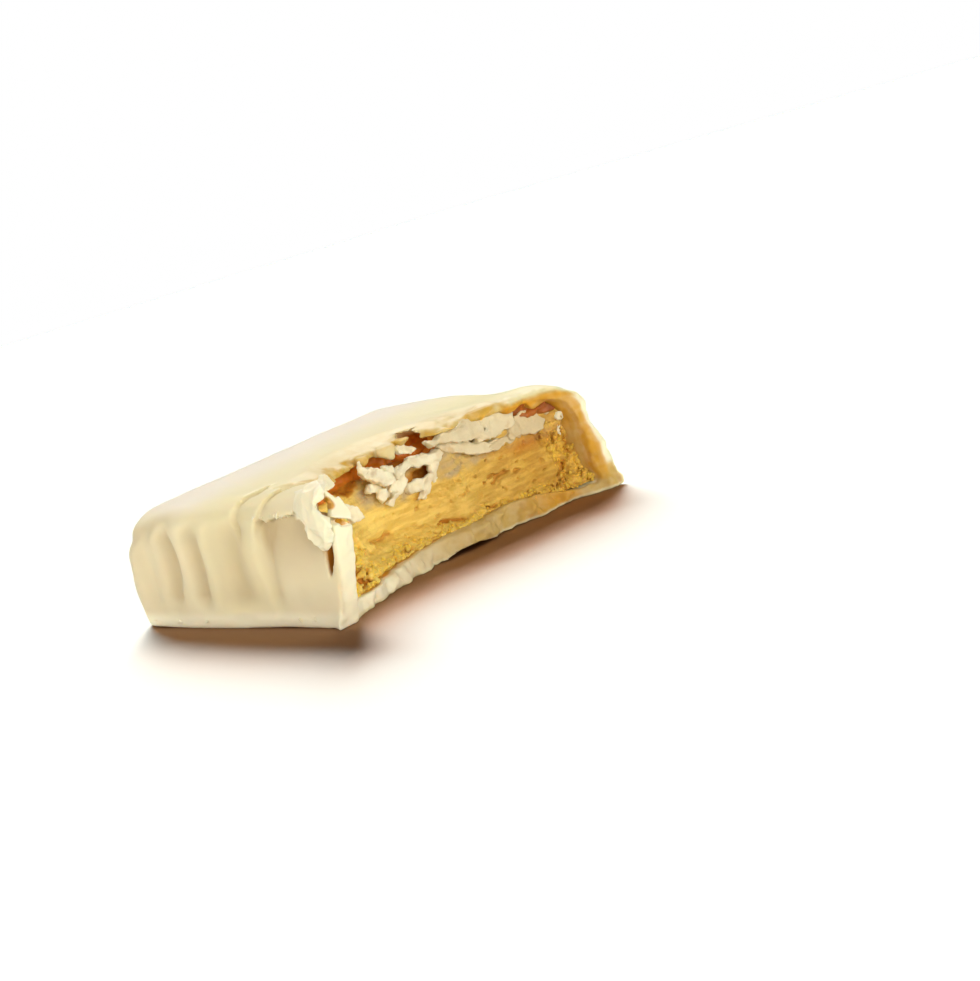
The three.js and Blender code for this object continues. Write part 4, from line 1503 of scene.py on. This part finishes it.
class BAR_OT_corner(PieceMaker, bpy.types.Operator):
    """Makes the snapped corner of the near wall"""

    bl_idname = "bar.corner"
    bl_label = "Snapped corner"

    def make(self):
        form = self.form
        piece = sculpted("corner_flake", form.corner, CORNER_GRID, MOST_TRIANGLES["corner"], 0.01)
        x, y, z = places_of(piece.data)
        hole = smooth((0.3 - form.corner_hole(x, y, z)) / 0.2)
        inside = smooth((-0.9 - form.body(x, y, z)) / 0.4)
        mark(piece.data, "cut", lerp(0.3, 1.0, smooth((x - 1.2) / 0.4)))
        mark(piece.data, "pale", 0.6)
        inside = inside * (1 - smooth((x - 0.8) / 0.6))
        mark(piece.data, "thin", 0.8 * inside)
        hole = hole * smooth((-0.25 - form.body(x, y, z)) / 0.3)
        mark(piece.data, "stain", np.maximum(hole, inside * smooth((13.4 - z) / 0.5)))
        # Painted shade in the hole's rim.
        mark(piece.data, "slit", 0.45 * hole)
        self.join(piece, self.finish_of("set coating", coating_finish), "white_coating", "shard_corner")


class BAR_OT_loose(PieceMaker, bpy.types.Operator):
    """Makes the loose flakes of coating"""

    bl_idname = "bar.loose"
    bl_label = "Loose flakes"

    def make(self):
        most = MOST_TRIANGLES["loose"]
        piece = sculpted("loose_flakes", self.form.loose, LOOSE_GRID, most, 0.005)
        self.join(piece, self.finish_of("fresh break", broken_finish), "broken_coating")


class BAR_OT_crumbs(PieceMaker, bpy.types.Operator):
    """Scatters crumbs of dough over its torn edges, and chips of coating on its foot and crack"""

    bl_idname = "bar.crumbs"
    bl_label = "Crumbs"

    def make(self):
        dough = self.finish_of("golden dough", dough_finish)
        tree = crumb_tree("dough crumbs", dough, False)
        settings = {**DOUGH_CRUMBS, "Largest": self.sizes.crumb}
        piece = scatter("dough_crumbs", bpy.data.objects["dough_core"], tree, settings)
        y = places_of(piece.data)[1]
        # The crumbs get the painted highlight patches all over.
        mark(piece.data, "crumbly", 1.0)
        # Painted shade on the crumbs towards the far wall.
        mark(piece.data, "far", smooth((y + 8) / 24))
        self.join(piece, dough, "dough")
        broken = self.finish_of("fresh break", broken_finish)
        tree = crumb_tree("coating chips", broken, True)
        settings = {**COATING_CHIPS, "Largest": self.sizes.chip}
        piece = scatter("coating_chips", bpy.data.objects["coating_shell"], tree, settings)
        self.join(piece, broken, "broken_coating")


# ---- The stage --------------------------------------------------------------------------------

# The camera, in the bar's own millimetres: where it is, which way it looks and which way is up.
CAMERA_PLACE = (113.61, -105.12, 36.51)
CAMERA_AHEAD = (-0.7116, 0.6757, -0.1924)
CAMERA_UP = (0.0632, 0.3344, 0.9403)
SENSOR = 36.0
LENS = 55.05
FLOOR_SIDE = 6.0
FLOOR_COLOURS = ((0.61, 0.385, 0.255), (0.63, 0.395, 0.265))
WHITE = (1.0, 1.0, 1.0)
# The suns: the direction each comes from, its strength, its width in degrees, its colour, and
# whether it reaches everything, only the floor, or everything but the floor.
SUNS = (
    ("key", (-0.6, 0.6, 1.0), 2.75, 20.0, (0.97, 1.0, 1.06), None),
    ("floor", (-1.15, 0.8, 1.0), 16.5, 30.0, (0.36, 0.72, 1.08), "INCLUDE"),
    ("left", (-0.45, -1.0, 0.4), 1.3, 40.0, WHITE, "EXCLUDE"),
    ("right", (1.0, -0.25, 0.25), 2.3, 40.0, WHITE, "EXCLUDE"),
)
STUDIO_LIGHT = 0.13
STUDIO_COLOUR = (1.0, 0.72, 0.5)


def soft_sun(name, toward, strength, spread, colour):
    """A wide soft light from far away, given by the direction that it comes from."""
    data = bpy.data.lights.new(name, "SUN")
    data.energy = strength
    data.angle = math.radians(spread)
    data.color = colour
    light = link(name, data)
    light.rotation_euler = Vector(toward).to_track_quat("Z", "Y").to_euler()
    return light


def limit_light(light, floor, state):
    """Lets a light reach the floor only, or everything but the floor."""
    group = bpy.data.collections.new(light.name + " reaches")
    group.objects.link(floor)
    group.collection_objects[0].light_linking.link_state = state
    light.light_linking.receiver_collection = group


class BAR_OT_stage(bpy.types.Operator):
    """Makes the white floor, the soft lights and the camera"""

    bl_idname = "bar.stage"
    bl_label = "Stage"
    bl_options = {"REGISTER", "UNDO"}

    def execute(self, context):
        scene = context.scene
        scene.view_settings.view_transform = "Standard"
        half = FLOOR_SIDE / 2
        mesh = bpy.data.meshes.new("floor")
        corners = [(-half, -half, 0), (half, -half, 0), (half, half, 0), (-half, half, 0)]
        mesh.from_pydata(corners, [], [(0, 1, 2, 3)])
        floor = link("floor", mesh)
        finish = Finish("floor")
        shade = finish.mix(finish.grain(60.0, 2.0, 41.0), *FLOOR_COLOURS)
        matt = {"Roughness": 0.9, "Specular IOR Level": 0.0}
        mesh.materials.append(finish.surface({"Base Color": shade}, matt))
        scene.world = self.studio()
        for *sun, reaches in SUNS:
            light = soft_sun(*sun)
            if reaches:
                limit_light(light, floor, reaches)
        self.camera(scene)
        return {"FINISHED"}

    def studio(self):
        """Plain white all round, which lights the bar less than it shows."""
        world = bpy.data.worlds.new("white studio")
        world.use_nodes = True
        nodes = Nodes(world.node_tree)
        nodes.tree.nodes.clear()
        seen = nodes.value("ShaderNodeLightPath", output="Is Camera Ray")
        strength = STUDIO_LIGHT + (1.0 - STUDIO_LIGHT) * seen
        colour = nodes.value("ShaderNodeMix", dict(data_type="RGBA"), {
            0: seen, 6: (*STUDIO_COLOUR, 1.0), 7: (*WHITE, 1.0),
        }, output=2)
        background = nodes.value("ShaderNodeBackground", None, {"Color": colour, "Strength": strength})
        nodes.add("ShaderNodeOutputWorld", None, {"Surface": background})
        return world

    def camera(self, scene):
        ahead = Vector(CAMERA_AHEAD).normalized()
        up = Vector(CAMERA_UP)
        right = ahead.cross(up).normalized()
        up = right.cross(ahead)
        turn = Matrix((right, up, -ahead)).transposed()
        shift = Vector((CAD_BOX[1].x / MM - FORWARD_END, 0, 0))
        data = bpy.data.cameras.new("camera")
        data.sensor_width = SENSOR
        data.lens = LENS
        data.clip_start = 0.01
        data.clip_end = 50.0
        camera = link("camera", data)
        camera.matrix_world = Matrix.Translation((Vector(CAMERA_PLACE) + shift) * MM) @ turn.to_4x4()
        scene.camera = camera


class BAR_PT_panel(bpy.types.Panel):
    """Lists the sizes, the colours and one button for each group of pieces"""

    bl_idname = "BAR_PT_panel"
    bl_label = "Bitten protein bar"
    bl_space_type = "VIEW_3D"
    bl_region_type = "UI"
    bl_category = "Bar"

    def draw(self, context):
        for group in (context.scene.bar_sizes, context.scene.bar_colours):
            box = self.layout.box()
            for name in group.bl_rna.properties.keys():
                if name not in ("rna_type", "name"):
                    box.prop(group, name)
        for operator in PIECES:
            self.layout.operator(operator.bl_idname)


PIECES = (
    BAR_OT_coating,
    BAR_OT_dough,
    BAR_OT_caramel,
    BAR_OT_shards,
    BAR_OT_corner,
    BAR_OT_loose,
    BAR_OT_crumbs,
    BAR_OT_stage,
)
CLASSES = (BarSizes, BarColours, *PIECES, BAR_PT_panel)


def register():
    for item in CLASSES:
        bpy.utils.register_class(item)
    bpy.types.Scene.bar_sizes = bpy.props.PointerProperty(type=BarSizes)
    bpy.types.Scene.bar_colours = bpy.props.PointerProperty(type=BarColours)


def unregister():
    del bpy.types.Scene.bar_colours
    del bpy.types.Scene.bar_sizes
    for item in reversed(CLASSES):
        bpy.utils.unregister_class(item)


def main():
    register()
    bpy.ops.bar.coating()
    bpy.ops.bar.dough()
    bpy.ops.bar.caramel()
    bpy.ops.bar.shards()
    bpy.ops.bar.corner()
    bpy.ops.bar.loose()
    bpy.ops.bar.crumbs()
    bpy.ops.bar.stage()


if __name__ == "__main__":
    main()
